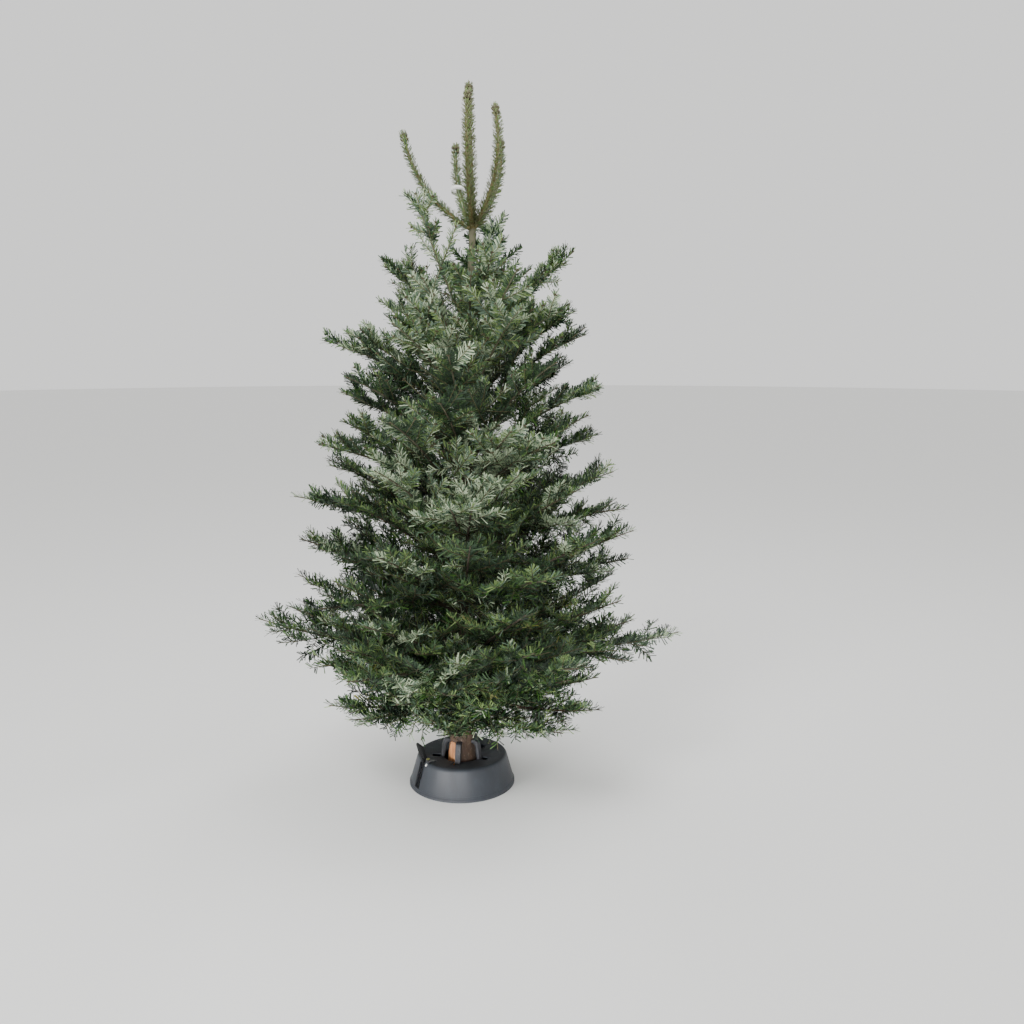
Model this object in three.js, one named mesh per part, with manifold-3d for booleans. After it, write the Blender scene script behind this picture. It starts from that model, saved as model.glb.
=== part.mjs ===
// A cut fir, 2.27 m high in its stand, as a Christmas tree.
// Millimetres, +Z up. The origin is at the middle of the stand's flat underside, and -Y faces the viewer.
// The trunk is whole up to its top whorl. Boughs stand round it in whorls, one whorl for each year of growth,
// and each bough carries a flat fan of needled side shoots, which is one foliage mass.
import * as THREE from "three";
import { mergeVertices } from "three/addons/utils/BufferGeometryUtils.js";
import Module from "manifold-3d";

const wasm = await Module();
wasm.setup();

// The trunk: a leaning, tapering stem with a root flare, cut flat where it stands in the water tank.
const TRUNK = {
  foot: 8.3,
  top: 1826,
  topRadius: 9.5,
  footRadius: 33,
  taper: 1.1,
  flare: 22,
  flareHeight: 170,
  lean: 35,
  sides: 12,
  rings: 8,
};
const PARING = { bearing: 224, depth: 39, width: 90, foot: -23, top: 147 }; // the flat pared off its foot
const LEADER = { height: 441, drift: -14 };
const SEAT = 0.3; // the gap that neighbouring solids keep

// One row for each level of boughs, from the top down, with weaker levels between the yearly whorls.
// years is a bough's age, bow lifts (+) or sags (-) its middle as a share of its length, and bare is the
// share of it, from the trunk out, that carries no foliage.
// Each bough is [bearing from +X in degrees, reach, height of its tip].
const WHORLS = [
  {
    height: 1792,
    years: 1,
    bow: -0.12,
    bare: 0.05,
    boughs: [
      [35, 110, 2092],
      [115, 115, 2069],
      [183, 225, 2102],
      [258, 90, 2207],
      [325, 90, 2182],
    ],
  },
  {
    height: 1460,
    years: 2,
    bow: -0.03,
    bare: 0.14,
    boughs: [
      [350, 340, 1715],
      [75, 270, 1850],
      [165, 300, 1700],
      [222, 215, 1890],
      [290, 230, 1700],
    ],
  },
  {
    height: 1290,
    years: 2,
    bow: 0.05,
    bare: 0.2,
    boughs: [
      [335, 330, 1525],
      [65, 300, 1570],
      [155, 300, 1560],
      [240, 290, 1530],
    ],
  },
  {
    height: 1120,
    years: 3,
    bow: 0.09,
    bare: 0.3,
    boughs: [
      [5, 390, 1450],
      [62, 400, 1480],
      [120, 400, 1470],
      [183, 455, 1430],
      [238, 380, 1480],
      [298, 350, 1640],
    ],
  },
  {
    height: 1000,
    years: 3,
    bow: 0.06,
    bare: 0.2,
    boughs: [
      [352, 435, 1280],
      [95, 410, 1270],
      [172, 415, 1260],
      [262, 400, 1250],
    ],
  },
  {
    height: 880,
    years: 4,
    bow: 0.06,
    bare: 0.2,
    boughs: [
      [22, 480, 1110],
      [140, 480, 1110],
      [203, 475, 1110],
      [310, 430, 1130],
    ],
  },
  {
    height: 725,
    years: 5,
    bow: 0.05,
    bare: 0.22,
    boughs: [
      [50, 520, 930],
      [125, 520, 930],
      [188, 540, 935],
      [268, 480, 960],
      [352, 520, 895],
    ],
  },
  {
    height: 570,
    years: 5,
    bow: 0.02,
    bare: 0.22,
    boughs: [
      [20, 595, 680],
      [95, 560, 690],
      [160, 570, 745],
      [225, 560, 660],
      [298, 540, 760],
    ],
  },
  {
    height: 410,
    years: 6,
    bow: -0.03,
    bare: 0.28,
    boughs: [
      [2, 705, 475],
      [88, 600, 520],
      [177, 672, 515],
      [240, 590, 490],
      [305, 600, 520],
    ],
  },
  {
    height: 285,
    years: 4,
    bow: -0.05,
    bare: 0.28,
    boughs: [
      [110, 400, 300],
      [198, 430, 290],
      [259, 300, 275],
      [342, 455, 280],
    ],
  },
];
// The boughs whose bare inner part shows. Each is a limb that ends where it enters its mass.
const LIMBS = ["3_4", "3_6"];
const LIMB = { radius: 1.8, perYear: 1.3, tip: 1.6, sides: 6, steps: 4 };

// How a fan of side shoots grows from a bough.
const FAN = {
  angle: 50,
  angleSpread: 6,
  lengthShare: 0.6,
  lengthSpread: 0.1,
  lift: 0.14,
  liftSpread: 0.24,
  rollSpread: 46,
  sweep: 0.1,
  midShare: 0.6,
  midYears: 3,
  midTurn: 0.5,
  stagger: 4,
  shortest: 55,
  tries: [1, 0.72, 0.5],
  tipShare: 1.12,
  reachOut: 1.06,
};
// A spray of needles: a toothed blade that is thickest along its shoot.
const SPRAY = {
  halfWidth: 35,
  gain: 0.12,
  valley: 0.5,
  ridge: 5,
  root: 3.6,
  toothLength: 110,
  mostTeeth: 3,
  toothAt: 0.45,
  toothLean: 0.42,
  narrowing: 0.3,
  thinning: 0.5,
  sink: 8,
};
const STEM = { sides: 3, steps: 3, swell: 1.1 };
const UPRIGHT = { ring: 36, arms: 3, core: 4.5, reach: 17, waist: 10, point: 0.25, turn: 0.45, from: 0.02 };
const CLEARANCE = 0.4; // what a spray keeps to its neighbours

// The stand: a conical plastic shell round a water tank. Five claws hinge in the tank and a cable draws them
// in against the trunk when the foot pedal is pressed. A small lever beside the pedal locks the cable.
// Its outlines are pairs of a radius and a height.
const STAND = { tankFloor: 8, segments: 30 };
const SHELL = [
  [0, 0],
  [108, 0],
  [108, 85.6],
  [137.5, 88.6],
  [142.4, 82],
  [163.4, 10],
  [166.4, 0],
  [170, 0],
  [170, 8],
  [167, 10],
  [146, 83],
  [142.5, 89.5],
  [137, 92],
  [131, 91.2],
  [62, 84],
  [62, 80.6],
  [104.8, 85.2],
  [104.8, 8],
  [0, 8],
];
const CLAW = { count: 5, bearing: 260, width: 18, pivot: [80, 30], pin: 3.2, pinLength: 28.4 };
const CLAW_OUTLINE = [
  [75, 24],
  [86, 24],
  [86, 36],
  [68, 86],
  [65, 116],
  [60, 134],
  [54, 141],
  [38, 141],
  [38, 131],
  [50, 128],
  [55, 115],
  [58, 84],
  [75, 35],
];
const EAR = { near: 73, far: 87, inside: 9.6, thick: 5, top: 34 };
const NOTCH = { near: 50, far: 96, width: 24, foot: 76, top: 96 };
const PEDAL = {
  bearing: 212,
  pivot: [122, 38],
  pin: 4,
  pinLength: 19,
  lean: 73,
  width: 8,
  deep: 12,
  arm: 78,
};
const PEDAL_PAD = { width: 38, from: 73, to: 114, deep: 9 };
const PEDAL_EAR = { near: 106, far: 131, inside: 4.6, thick: 4.4, foot: 26, top: 47 };
const SLOT = { near: 126, far: 176, width: 12, foot: 15, top: 96 };
const LOCK = { bearing: 218.5, radius: 134, foot: 86, top: 94, hub: 7.5, height: 8, lever: 27, tip: 2.4 };
const CLEAR = 0.3; // the running clearance round a pin

// The label: a plain band of white film round one of the top shoots.
const LABEL = { shoot: 1, share: 0.51, wide: 25, deep: 18.4, height: 13, thick: 0.9, segments: 12 };

const PLASTIC = { color: 0x3c4048, roughness: 0.48, metalness: 0 };
const BLACK = { color: 0x111214, roughness: 0.55, metalness: 0 };
const STEEL = { color: 0x4a4a4c, roughness: 0.5, metalness: 0.6 };
const FILM = { color: 0xf2f2ef, roughness: 0.45, metalness: 0 };
const BARK = { color: 0x6d5b47, roughness: 0.9, metalness: 0 };
const NEEDLES = { color: 0x3d5a45, roughness: 0.6, metalness: 0 };

const UP = new THREE.Vector3(0, 0, 1);
const radians = THREE.MathUtils.degToRad;
const tree = new THREE.Group();
tree.name = "christmas_tree";
const built = []; // every finished solid, which later sprays keep clear of
const stems = new Map(); // the stem of each mass, which the sprays of the others keep clear of

// A closed three.js geometry as a solid.
function solidOf(geometry) {
  const bare = geometry.index ? geometry.toNonIndexed() : geometry.clone();
  bare.deleteAttribute("normal");
  bare.deleteAttribute("uv");
  const merged = mergeVertices(bare, 1e-3);
  const points = [];
  const triangles = [];
  const { position } = merged.attributes;
  for (let i = 0; i < position.count; i++) points.push(new THREE.Vector3().fromBufferAttribute(position, i));
  for (let i = 0; i < merged.index.count; i += 3) {
    const corners = [0, 1, 2].map((k) => merged.index.getX(i + k));
    if (new Set(corners).size === 3) triangles.push(corners);
  }
  return solidFrom(points, triangles);
}

// A solid from points and triangles, turned right side out.
function solidFrom(points, triangles) {
  const solid = (corners) =>
    new wasm.Manifold(
      new wasm.Mesh({
        numProp: 3,
        vertProperties: new Float32Array(points.flatMap((p) => [p.x, p.y, p.z])),
        triVerts: new Uint32Array(corners.flat()),
      }),
    );
  const made = solid(triangles);
  return made.volume() > 0 ? made : solid(triangles.map(([a, b, c]) => [a, c, b]));
}

function placed(geometry, matrix) {
  return solidOf(geometry.applyMatrix4(matrix));
}

// Fills the hollows that joining has sealed, and drops loose scraps.
function madeWhole(solid) {
  const shells = solid.decompose().filter((shell) => shell.volume() > 0);
  return shells.reduce((largest, shell) => (shell.volume() > largest.volume() ? shell : largest));
}

// Adds a solid to the tree as a named mesh.
function addNode(name, joined, look) {
  const solid = madeWhole(joined);
  const made = solid.getMesh();
  const points = new Float32Array(made.numVert * 3);
  for (let i = 0; i < made.numVert; i++)
    points.set(made.vertProperties.subarray(i * made.numProp, i * made.numProp + 3), i * 3);
  const geometry = new THREE.BufferGeometry()
    .setAttribute("position", new THREE.BufferAttribute(points, 3))
    .setIndex(new THREE.BufferAttribute(made.triVerts, 1));
  geometry.computeVertexNormals();
  const mesh = new THREE.Mesh(geometry, new THREE.MeshStandardMaterial(look));
  mesh.name = name;
  tree.add(mesh);
  built.push(solid);
}

// Seeded draws, the same on every run.
class Dice {
  constructor(seed) {
    this.state = (seed * 7919 + 104729) % 2147483647;
    for (let i = 0; i < 3; i++) this.next();
  }
  next() {
    this.state = (this.state * 16807) % 2147483647;
    return this.state / 2147483647;
  }
  spread(most) {
    return (2 * this.next() - 1) * most;
  }
}

// The trunk's centre and radius at a height.
function trunkCentre(height) {
  return new THREE.Vector3(TRUNK.lean * (height / TRUNK.top) ** 2, 0, height);
}

function trunkRadius(height) {
  const share = Math.max(0, 1 - height / TRUNK.top);
  const stem = TRUNK.topRadius + (TRUNK.footRadius - TRUNK.topRadius) * share ** TRUNK.taper;
  return stem + TRUNK.flare * Math.exp(-height / TRUNK.flareHeight);
}

// Two directions across a line, the first one level unless the line is upright.
function across(along) {
  const upright = Math.abs(along.z) > 0.999;
  const side = new THREE.Vector3().crossVectors(along, upright ? new THREE.Vector3(0, 1, 0) : UP).normalize();
  return { side, up: new THREE.Vector3().crossVectors(side, along).normalize() };
}

// A tube with round sections that taper along a line of points.
function taperedTube(centres, radii, sides) {
  const points = [];
  const triangles = [];
  centres.forEach((centre, i) => {
    const before = centres[Math.max(i - 1, 0)];
    const after = centres[Math.min(i + 1, centres.length - 1)];
    const { side, up } = across(new THREE.Vector3().subVectors(after, before).normalize());
    for (let k = 0; k < sides; k++) {
      const turn = (2 * Math.PI * (k + 0.25)) / sides;
      points.push(
        centre
          .clone()
          .addScaledVector(side, radii[i] * Math.cos(turn))
          .addScaledVector(up, radii[i] * Math.sin(turn)),
      );
    }
  });
  for (let i = 0; i + 1 < centres.length; i++)
    for (let k = 0; k < sides; k++) {
      const [a, b] = [i * sides + k, i * sides + ((k + 1) % sides)];
      triangles.push([a, a + sides, b], [b, a + sides, b + sides]);
    }
  const last = (centres.length - 1) * sides;
  for (let k = 1; k + 1 < sides; k++) {
    triangles.push([0, k, k + 1]);
    triangles.push([last, last + k + 1, last + k]);
  }
  return solidFrom(points, triangles);
}

function trunkTube(grow, from, to) {
  const centres = [];
  const radii = [];
  for (let i = 0; i <= TRUNK.rings; i++) {
    const height = from + (to - from) * (i / TRUNK.rings) ** 1.5;
    centres.push(trunkCentre(height));
    radii.push(trunkRadius(height) + grow);
  }
  return taperedTube(centres, radii, TRUNK.sides);
}

// A bough's line: a quadratic curve from the trunk's centre to the bough's tip.
class Bough {
  constructor(name, rule, seed, root, tip) {
    Object.assign(this, { name, rule, seed, root, tip });
    this.length = tip.distanceTo(root);
    const { up } = across(tip.clone().sub(root).normalize());
    this.middle = root
      .clone()
      .lerp(tip, 0.5)
      .addScaledVector(up, 2 * rule.bow * this.length);
    this.rootRadius = LIMB.radius + LIMB.perYear * rule.years;
  }
  at(t) {
    return this.root
      .clone()
      .multiplyScalar((1 - t) ** 2)
      .addScaledVector(this.middle, 2 * t * (1 - t))
      .addScaledVector(this.tip, t * t);
  }
  along(t) {
    return this.middle
      .clone()
      .sub(this.root)
      .multiplyScalar(1 - t)
      .addScaledVector(this.tip.clone().sub(this.middle), t)
      .normalize();
  }
  radius(t) {
    return this.rootRadius + (LIMB.tip - this.rootRadius) * t;
  }
  tube(from, to, sides, steps, grow = 1) {
    const centres = [];
    const radii = [];
    for (let i = 0; i <= steps; i++) {
      const t = from + ((to - from) * i) / steps;
      centres.push(this.at(t));
      radii.push(this.radius(t) * grow);
    }
    return taperedTube(centres, radii, sides);
  }
}

// The side shoots of a bough: a pair at each year's node, and a shorter one between nodes by turns.
function sideShoots(bough) {
  const dice = new Dice(bough.seed);
  const { years, bare } = bough.rule;
  const shoots = [];
  const stations = [];
  for (let node = 1; node < years; node++) {
    stations.push({ t: node / years, share: 1, sides: [-1, 1] });
    if (years <= FAN.midYears)
      stations.push({ t: (node + FAN.midTurn) / years, share: FAN.midShare, sides: [node % 2 ? 1 : -1] });
  }
  for (const { t, share, sides } of stations)
    for (const hand of sides) {
      const angle = radians(FAN.angle + dice.spread(FAN.angleSpread));
      const length =
        FAN.lengthShare * share * (FAN.reachOut - t) * bough.length * (1 + dice.spread(FAN.lengthSpread));
      const lift = FAN.lift + dice.spread(FAN.liftSpread);
      const roll = radians(dice.spread(FAN.rollSpread));
      if (t < bare || length < FAN.shortest) continue;
      const along = bough.along(t);
      const { side, up } = across(along);
      const out = along
        .clone()
        .multiplyScalar(Math.cos(angle))
        .addScaledVector(side, hand * Math.sin(angle))
        .addScaledVector(up, lift)
        .normalize();
      const root = bough.at(t + (hand * FAN.stagger) / bough.length);
      shoots.push({ root, out, forward: along, up, length, roll });
    }
  return shoots;
}

// The line and the frame of a shoot at a share of its length.
function shootAt(shoot, s) {
  const point = shoot.root
    .clone()
    .addScaledVector(shoot.out, shoot.length * s)
    .addScaledVector(shoot.forward, shoot.length * FAN.sweep * s * s);
  const along = shoot.out
    .clone()
    .addScaledVector(shoot.forward, 2 * FAN.sweep * s)
    .normalize();
  const level = new THREE.Vector3().crossVectors(along, shoot.up).normalize();
  const side = level.applyAxisAngle(along, shoot.roll);
  return { point, along, side, up: new THREE.Vector3().crossVectors(side, along) };
}

function toothCount(length) {
  return Math.min(SPRAY.mostTeeth, Math.max(2, Math.round(length / SPRAY.toothLength)));
}

// A toothed blade along a shoot. Each tooth stands for a bunch of needles and leans towards the tip.
function sprayBlade(frameAt, length, halfWidth) {
  const teeth = toothCount(length);
  const points = [];
  const triangles = [];
  const put = (frame, wide, high, ahead = 0) =>
    points.push(
      frame.point
        .clone()
        .addScaledVector(frame.side, wide)
        .addScaledVector(frame.up, high)
        .addScaledVector(frame.along, ahead),
    ) - 1;
  const stations = [];
  for (let i = 0; i < teeth; i++) {
    const frame = frameAt(i / teeth);
    const ridge = i === 0 ? SPRAY.root : SPRAY.ridge * (1 - SPRAY.thinning * (i / teeth));
    const valley = i === 0 ? SPRAY.root : halfWidth * SPRAY.valley * (1 - SPRAY.narrowing * (i / teeth));
    stations.push({
      top: put(frame, 0, ridge),
      under: put(frame, 0, -ridge),
      left: put(frame, -valley, 0),
      right: put(frame, valley, 0),
    });
  }
  const end = put(frameAt(1), 0, 0);
  stations.push({ top: end, under: end, left: end, right: end });
  triangles.push([stations[0].top, stations[0].left, stations[0].under]);
  triangles.push([stations[0].top, stations[0].under, stations[0].right]);
  for (let i = 0; i < teeth; i++) {
    const near = stations[i];
    const far = stations[i + 1];
    const frame = frameAt((i + SPRAY.toothAt) / teeth);
    const width = halfWidth * (1 - SPRAY.narrowing * (i / teeth));
    const ahead = (SPRAY.toothLean * length) / teeth;
    const leftTip = put(frame, -width, 0, ahead);
    const rightTip = put(frame, width, 0, ahead);
    for (const [spineNear, spineFar, flip] of [
      [near.top, far.top, false],
      [near.under, far.under, true],
    ]) {
      const faces = [
        [spineNear, near.right, rightTip],
        [spineNear, rightTip, spineFar],
        [spineNear, leftTip, near.left],
        [spineNear, spineFar, leftTip],
      ];
      if (far.right !== end) faces.push([spineFar, rightTip, far.right], [spineFar, far.left, leftTip]);
      for (const [a, b, c] of faces) triangles.push(flip ? [a, c, b] : [a, b, c]);
    }
  }
  return solidFrom(points, triangles);
}

function boxesMeet(a, b, margin) {
  const [p, q] = [a.boundingBox(), b.boundingBox()];
  return [0, 1, 2].every((k) => p.min[k] - margin < q.max[k] && q.min[k] - margin < p.max[k]);
}

function isClear(solid, own) {
  return [...built, ...stems.values()].every(
    (other) =>
      other === own || !boxesMeet(solid, other, CLEARANCE) || solid.minGap(other, CLEARANCE) >= CLEARANCE,
  );
}

// The stem of a mass, from where its foliage starts, with the spray that ends the bough.
function massStem(bough, from) {
  const tipLength = FAN.tipShare * (bough.length / bough.rule.years);
  const start = 1 - tipLength / bough.length;
  const end = start + SPRAY.sink / bough.length;
  const stem = bough.tube(from, end, STEM.sides, STEM.steps, STEM.swell).subtract(trunkRoom);
  const tipFrame = (s) => {
    const t = start + (1 - start) * s;
    const along = bough.along(t);
    return { point: bough.at(t), along, ...across(along) };
  };
  return stem.add(sprayBlade(tipFrame, tipLength, SPRAY.halfWidth));
}

// A bough's foliage: its stem, with every side spray that keeps clear of its neighbours.
function foliageMass(bough) {
  const stem = stems.get(bough.name);
  let mass = stem;
  for (const shoot of sideShoots(bough)) {
    for (const share of FAN.tries) {
      const length = shoot.length * share;
      const halfWidth = SPRAY.halfWidth + SPRAY.gain * length;
      const blade = sprayBlade((s) => shootAt(shoot, s * share), length, halfWidth);
      if (!isClear(blade, stem)) continue;
      mass = mass.add(blade);
      break;
    }
  }
  return mass;
}

// The direction of an upright shoot and of its first arm of needles. The shoot bends in one upright plane, so
// the arms are turned from the level line across that plane and keep their places along the shoot.
function uprightFrame(bough, t) {
  const along = bough.along(t);
  const level = new THREE.Vector3().crossVectors(bough.tip.clone().sub(bough.root), UP).normalize();
  return { along, arm: level.applyAxisAngle(along, UPRIGHT.turn) };
}

// A young upright shoot: a stem with needles standing out all round it, as a toothed star-shaped blade.
function uprightShoot(bough, from) {
  const rings = Math.round(bough.length / UPRIGHT.ring);
  const points = [];
  const triangles = [];
  const corners = 2 * UPRIGHT.arms;
  for (let i = 0; i <= rings; i++) {
    const t = from + ((1 - from) * i) / rings;
    const { arm, along } = uprightFrame(bough, t);
    const wide = i % 2 ? UPRIGHT.waist : UPRIGHT.reach;
    for (let k = 0; k < corners; k++) {
      let radius = k % 2 || i === 0 ? UPRIGHT.core : wide;
      if (i === rings) radius *= UPRIGHT.point;
      const corner = arm.clone().applyAxisAngle(along, (Math.PI * k) / UPRIGHT.arms);
      points.push(bough.at(t).addScaledVector(corner, radius));
    }
  }
  for (let i = 0; i < rings; i++)
    for (let k = 0; k < corners; k++) {
      const [a, b] = [i * corners + k, i * corners + ((k + 1) % corners)];
      triangles.push([a, a + corners, b], [b, a + corners, b + corners]);
    }
  for (const [start, flip] of [
    [0, false],
    [rings * corners, true],
  ])
    for (let k = 1; k + 1 < corners; k++)
      triangles.push(flip ? [start, start + k + 1, start + k] : [start, start + k, start + k + 1]);
  return solidFrom(points, triangles).subtract(trunkRoom);
}

// The trunk, pared flat on one side of its foot so that it fits between the claws.
const paring = placed(
  new THREE.BoxGeometry(2 * TRUNK.footRadius, PARING.width, PARING.top - PARING.foot).translate(
    PARING.depth + TRUNK.footRadius,
    0,
    (PARING.top + PARING.foot) / 2,
  ),
  new THREE.Matrix4().makeRotationZ(radians(PARING.bearing)),
);
addNode("trunk", trunkTube(0, TRUNK.foot, TRUNK.top).subtract(paring), BARK);
const trunkRoom = trunkTube(SEAT, 0, TRUNK.top + SEAT);

// Level 0 is the ring of young shoots below the leader. Every other level's boughs carry fans.
const boughs = WHORLS.flatMap((rule, level) =>
  rule.boughs.map(([bearing, reach, tipHeight], i) => {
    const root = trunkCentre(rule.height);
    const outward = new THREE.Vector3(Math.cos(radians(bearing)), Math.sin(radians(bearing)), 0);
    const tip = root.clone().addScaledVector(outward, reach).setZ(tipHeight);
    return new Bough(`${level}_${i + 1}`, rule, 100 * level + 7 * i + 3, root, tip);
  }),
);
const shoots = boughs.filter((bough) => bough.rule.years === 1);
const fans = boughs.filter((bough) => bough.rule.years > 1);

// Limbs come first, so that the masses keep clear of them.
for (const bough of fans.filter(({ name }) => LIMBS.includes(name))) {
  const limb = bough.tube(0, bough.rule.bare, LIMB.sides, LIMB.steps).subtract(trunkRoom);
  addNode(`bough_${bough.name}`, limb, BARK);
}

const leaderRoot = trunkCentre(TRUNK.top - UPRIGHT.core);
const leaderTip = leaderRoot.clone().add(new THREE.Vector3(LEADER.drift, 0, LEADER.height));
const leader = new Bough("leader", { years: 1, bow: 0 }, 1, leaderRoot, leaderTip);
addNode("leader_shoot", uprightShoot(leader, 0), NEEDLES);
shoots.forEach((shoot, i) => addNode(`top_shoot_${i + 1}`, uprightShoot(shoot, UPRIGHT.from), NEEDLES));

for (const bough of fans) {
  const hasLimb = LIMBS.includes(bough.name);
  stems.set(bough.name, massStem(bough, hasLimb ? bough.rule.bare + SEAT / bough.length : 0));
}
for (const bough of fans) addNode(`foliage_${bough.name}`, foliageMass(bough), NEEDLES);

// The stand's pieces are made with x outwards, y along the rim and z up, then turned to their bearing.
function turned(solid, bearing) {
  return solid.rotate([0, 0, bearing]);
}

function block(near, far, left, right, foot, top) {
  const geometry = new THREE.BoxGeometry(far - near, right - left, top - foot);
  return solidOf(geometry.translate((near + far) / 2, (left + right) / 2, (foot + top) / 2));
}

function plate(outline, width) {
  const shape = new THREE.Shape(outline.map(([x, z]) => new THREE.Vector2(x, z)));
  const geometry = new THREE.ExtrudeGeometry(shape, { depth: width, bevelEnabled: false });
  return solidOf(geometry.translate(0, 0, -width / 2).rotateX(Math.PI / 2));
}

// A round pin along y.
function pinAt([x, z], radius, length) {
  return solidOf(new THREE.CylinderGeometry(radius, radius, length, 8).translate(x, 0, z));
}

// A pair of ears with open seats that a pin drops into.
function ears(ear, [x, z], pin, foot) {
  const outside = ear.inside + ear.thick;
  const room = pin + CLEAR;
  const seat = block(x - room, x + room, -outside - 1, outside + 1, z - room, ear.top + 1);
  return block(ear.near, ear.far, ear.inside, outside, foot, ear.top)
    .add(block(ear.near, ear.far, -outside, -ear.inside, foot, ear.top))
    .subtract(seat);
}

// The shell, tank, rim and funnel are one moulding, with an ear pair for every hinge.
function standBody() {
  const profile = SHELL.map(([radius, height]) => new THREE.Vector2(radius, height));
  let body = solidOf(new THREE.LatheGeometry(profile, STAND.segments).rotateX(Math.PI / 2));
  const notch = block(NOTCH.near, NOTCH.far, -NOTCH.width / 2, NOTCH.width / 2, NOTCH.foot, NOTCH.top);
  for (let i = 0; i < CLAW.count; i++) {
    const bearing = CLAW.bearing + (360 / CLAW.count) * i;
    body = body
      .subtract(turned(notch, bearing))
      .add(turned(ears(EAR, CLAW.pivot, CLAW.pin, STAND.tankFloor - 2), bearing));
  }
  const slot = block(SLOT.near, SLOT.far, -SLOT.width / 2, SLOT.width / 2, SLOT.foot, SLOT.top);
  const boss = new THREE.CylinderGeometry(LOCK.hub, LOCK.hub, LOCK.top - LOCK.foot, 16)
    .rotateX(Math.PI / 2)
    .translate(LOCK.radius, 0, (LOCK.top + LOCK.foot) / 2);
  return body
    .subtract(turned(slot, PEDAL.bearing))
    .add(turned(ears(PEDAL_EAR, PEDAL.pivot, PEDAL.pin, PEDAL_EAR.foot), PEDAL.bearing))
    .add(turned(solidOf(boss), LOCK.bearing));
}

function claw(i) {
  const made = plate(CLAW_OUTLINE, CLAW.width).add(pinAt(CLAW.pivot, CLAW.pin, CLAW.pinLength));
  return turned(made, CLAW.bearing + (360 / CLAW.count) * i).subtract(trunkRoom);
}

function pedal() {
  const [x, z] = PEDAL.pivot;
  const [half, deep] = [PEDAL.width / 2, PEDAL.deep / 2];
  const [padHalf, padDeep] = [PEDAL_PAD.width / 2, PEDAL_PAD.deep / 2];
  const lever = block(-deep, PEDAL.arm, -half, half, -deep, deep)
    .add(block(PEDAL_PAD.from, PEDAL_PAD.to, -padHalf, padHalf, -padDeep, padDeep))
    .add(pinAt([0, 0], PEDAL.pin, PEDAL.pinLength));
  return turned(lever.rotate([0, -PEDAL.lean, 0]).translate([x, 0, z]), PEDAL.bearing);
}

// The lock: a hub that turns on its boss, with a button on top and a tapered lever over the funnel.
function lockLever() {
  const foot = LOCK.top + SEAT;
  const hub = new THREE.CylinderGeometry(LOCK.hub - 0.5, LOCK.hub, LOCK.height, 16)
    .rotateX(Math.PI / 2)
    .translate(0, 0, foot + LOCK.height / 2);
  const outline = new THREE.Shape([
    new THREE.Vector2(0, -LOCK.hub * 0.7),
    new THREE.Vector2(LOCK.lever, -LOCK.tip),
    new THREE.Vector2(LOCK.lever, LOCK.tip),
    new THREE.Vector2(0, LOCK.hub * 0.7),
  ]);
  const lever = new THREE.ExtrudeGeometry(outline, { depth: LOCK.height / 2, bevelEnabled: false });
  const turn = radians(LOCK.bearing);
  return solidOf(hub)
    .add(solidOf(lever.translate(0, 0, foot)))
    .translate([LOCK.radius * Math.cos(turn), LOCK.radius * Math.sin(turn), 0]);
}

// The label hangs round its shoot, square to it, and rests on the needles of one arm.
function label() {
  const shoot = shoots[LABEL.shoot];
  const { wide, deep, thick, height } = LABEL;
  const { arm, along } = uprightFrame(shoot, LABEL.share);
  const ring = (x, y, z) =>
    new THREE.CylinderGeometry(1, 1, z, LABEL.segments).rotateX(Math.PI / 2).scale(x, y, 1);
  const place = new THREE.Matrix4().makeBasis(arm, new THREE.Vector3().crossVectors(along, arm), along);
  place.setPosition(shoot.at(LABEL.share).addScaledVector(arm, UPRIGHT.reach + 2 * SEAT - wide));
  return placed(ring(wide + thick, deep + thick, height), place).subtract(
    placed(ring(wide, deep, height + 2), place),
  );
}

addNode("stand_body", standBody(), PLASTIC);
for (let i = 0; i < CLAW.count; i++) addNode(`claw_${i + 1}`, claw(i), STEEL);
addNode("pedal", pedal(), BLACK);
addNode("lock_lever", lockLever(), BLACK);
addNode("label", label(), FILM);

export default tree;
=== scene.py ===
import math
from dataclasses import dataclass

import bpy
import numpy as np
from mathutils import Matrix, Vector


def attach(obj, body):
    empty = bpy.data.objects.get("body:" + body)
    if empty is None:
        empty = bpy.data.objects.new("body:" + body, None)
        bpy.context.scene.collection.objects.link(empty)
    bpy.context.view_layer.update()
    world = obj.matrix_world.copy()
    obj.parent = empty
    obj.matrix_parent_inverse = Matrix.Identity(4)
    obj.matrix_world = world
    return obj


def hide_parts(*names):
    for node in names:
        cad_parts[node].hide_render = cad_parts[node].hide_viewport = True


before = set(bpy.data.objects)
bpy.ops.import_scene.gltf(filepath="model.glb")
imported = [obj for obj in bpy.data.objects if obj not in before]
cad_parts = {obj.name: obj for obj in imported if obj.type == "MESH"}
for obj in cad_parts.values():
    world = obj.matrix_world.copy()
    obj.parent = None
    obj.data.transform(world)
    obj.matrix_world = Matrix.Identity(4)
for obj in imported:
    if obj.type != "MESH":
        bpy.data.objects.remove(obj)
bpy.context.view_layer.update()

# The camera stands 3.3 m in front of the tree and a little to its right, level, at 1.43 m. Its frame is
# shifted down to the tree, so that upright lines stay upright.
link = bpy.context.scene.collection.objects.link
camera_data = bpy.data.cameras.new("camera")
camera_data.lens = 36
camera_data.sensor_width = 36
camera_data.shift_y = -0.167
camera = bpy.data.objects.new("camera", camera_data)
camera.location = (0.162, -3.336, 1.43)
camera.rotation_euler = (math.pi / 2, 0, 0)
link(camera)
bpy.context.scene.camera = camera

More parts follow.
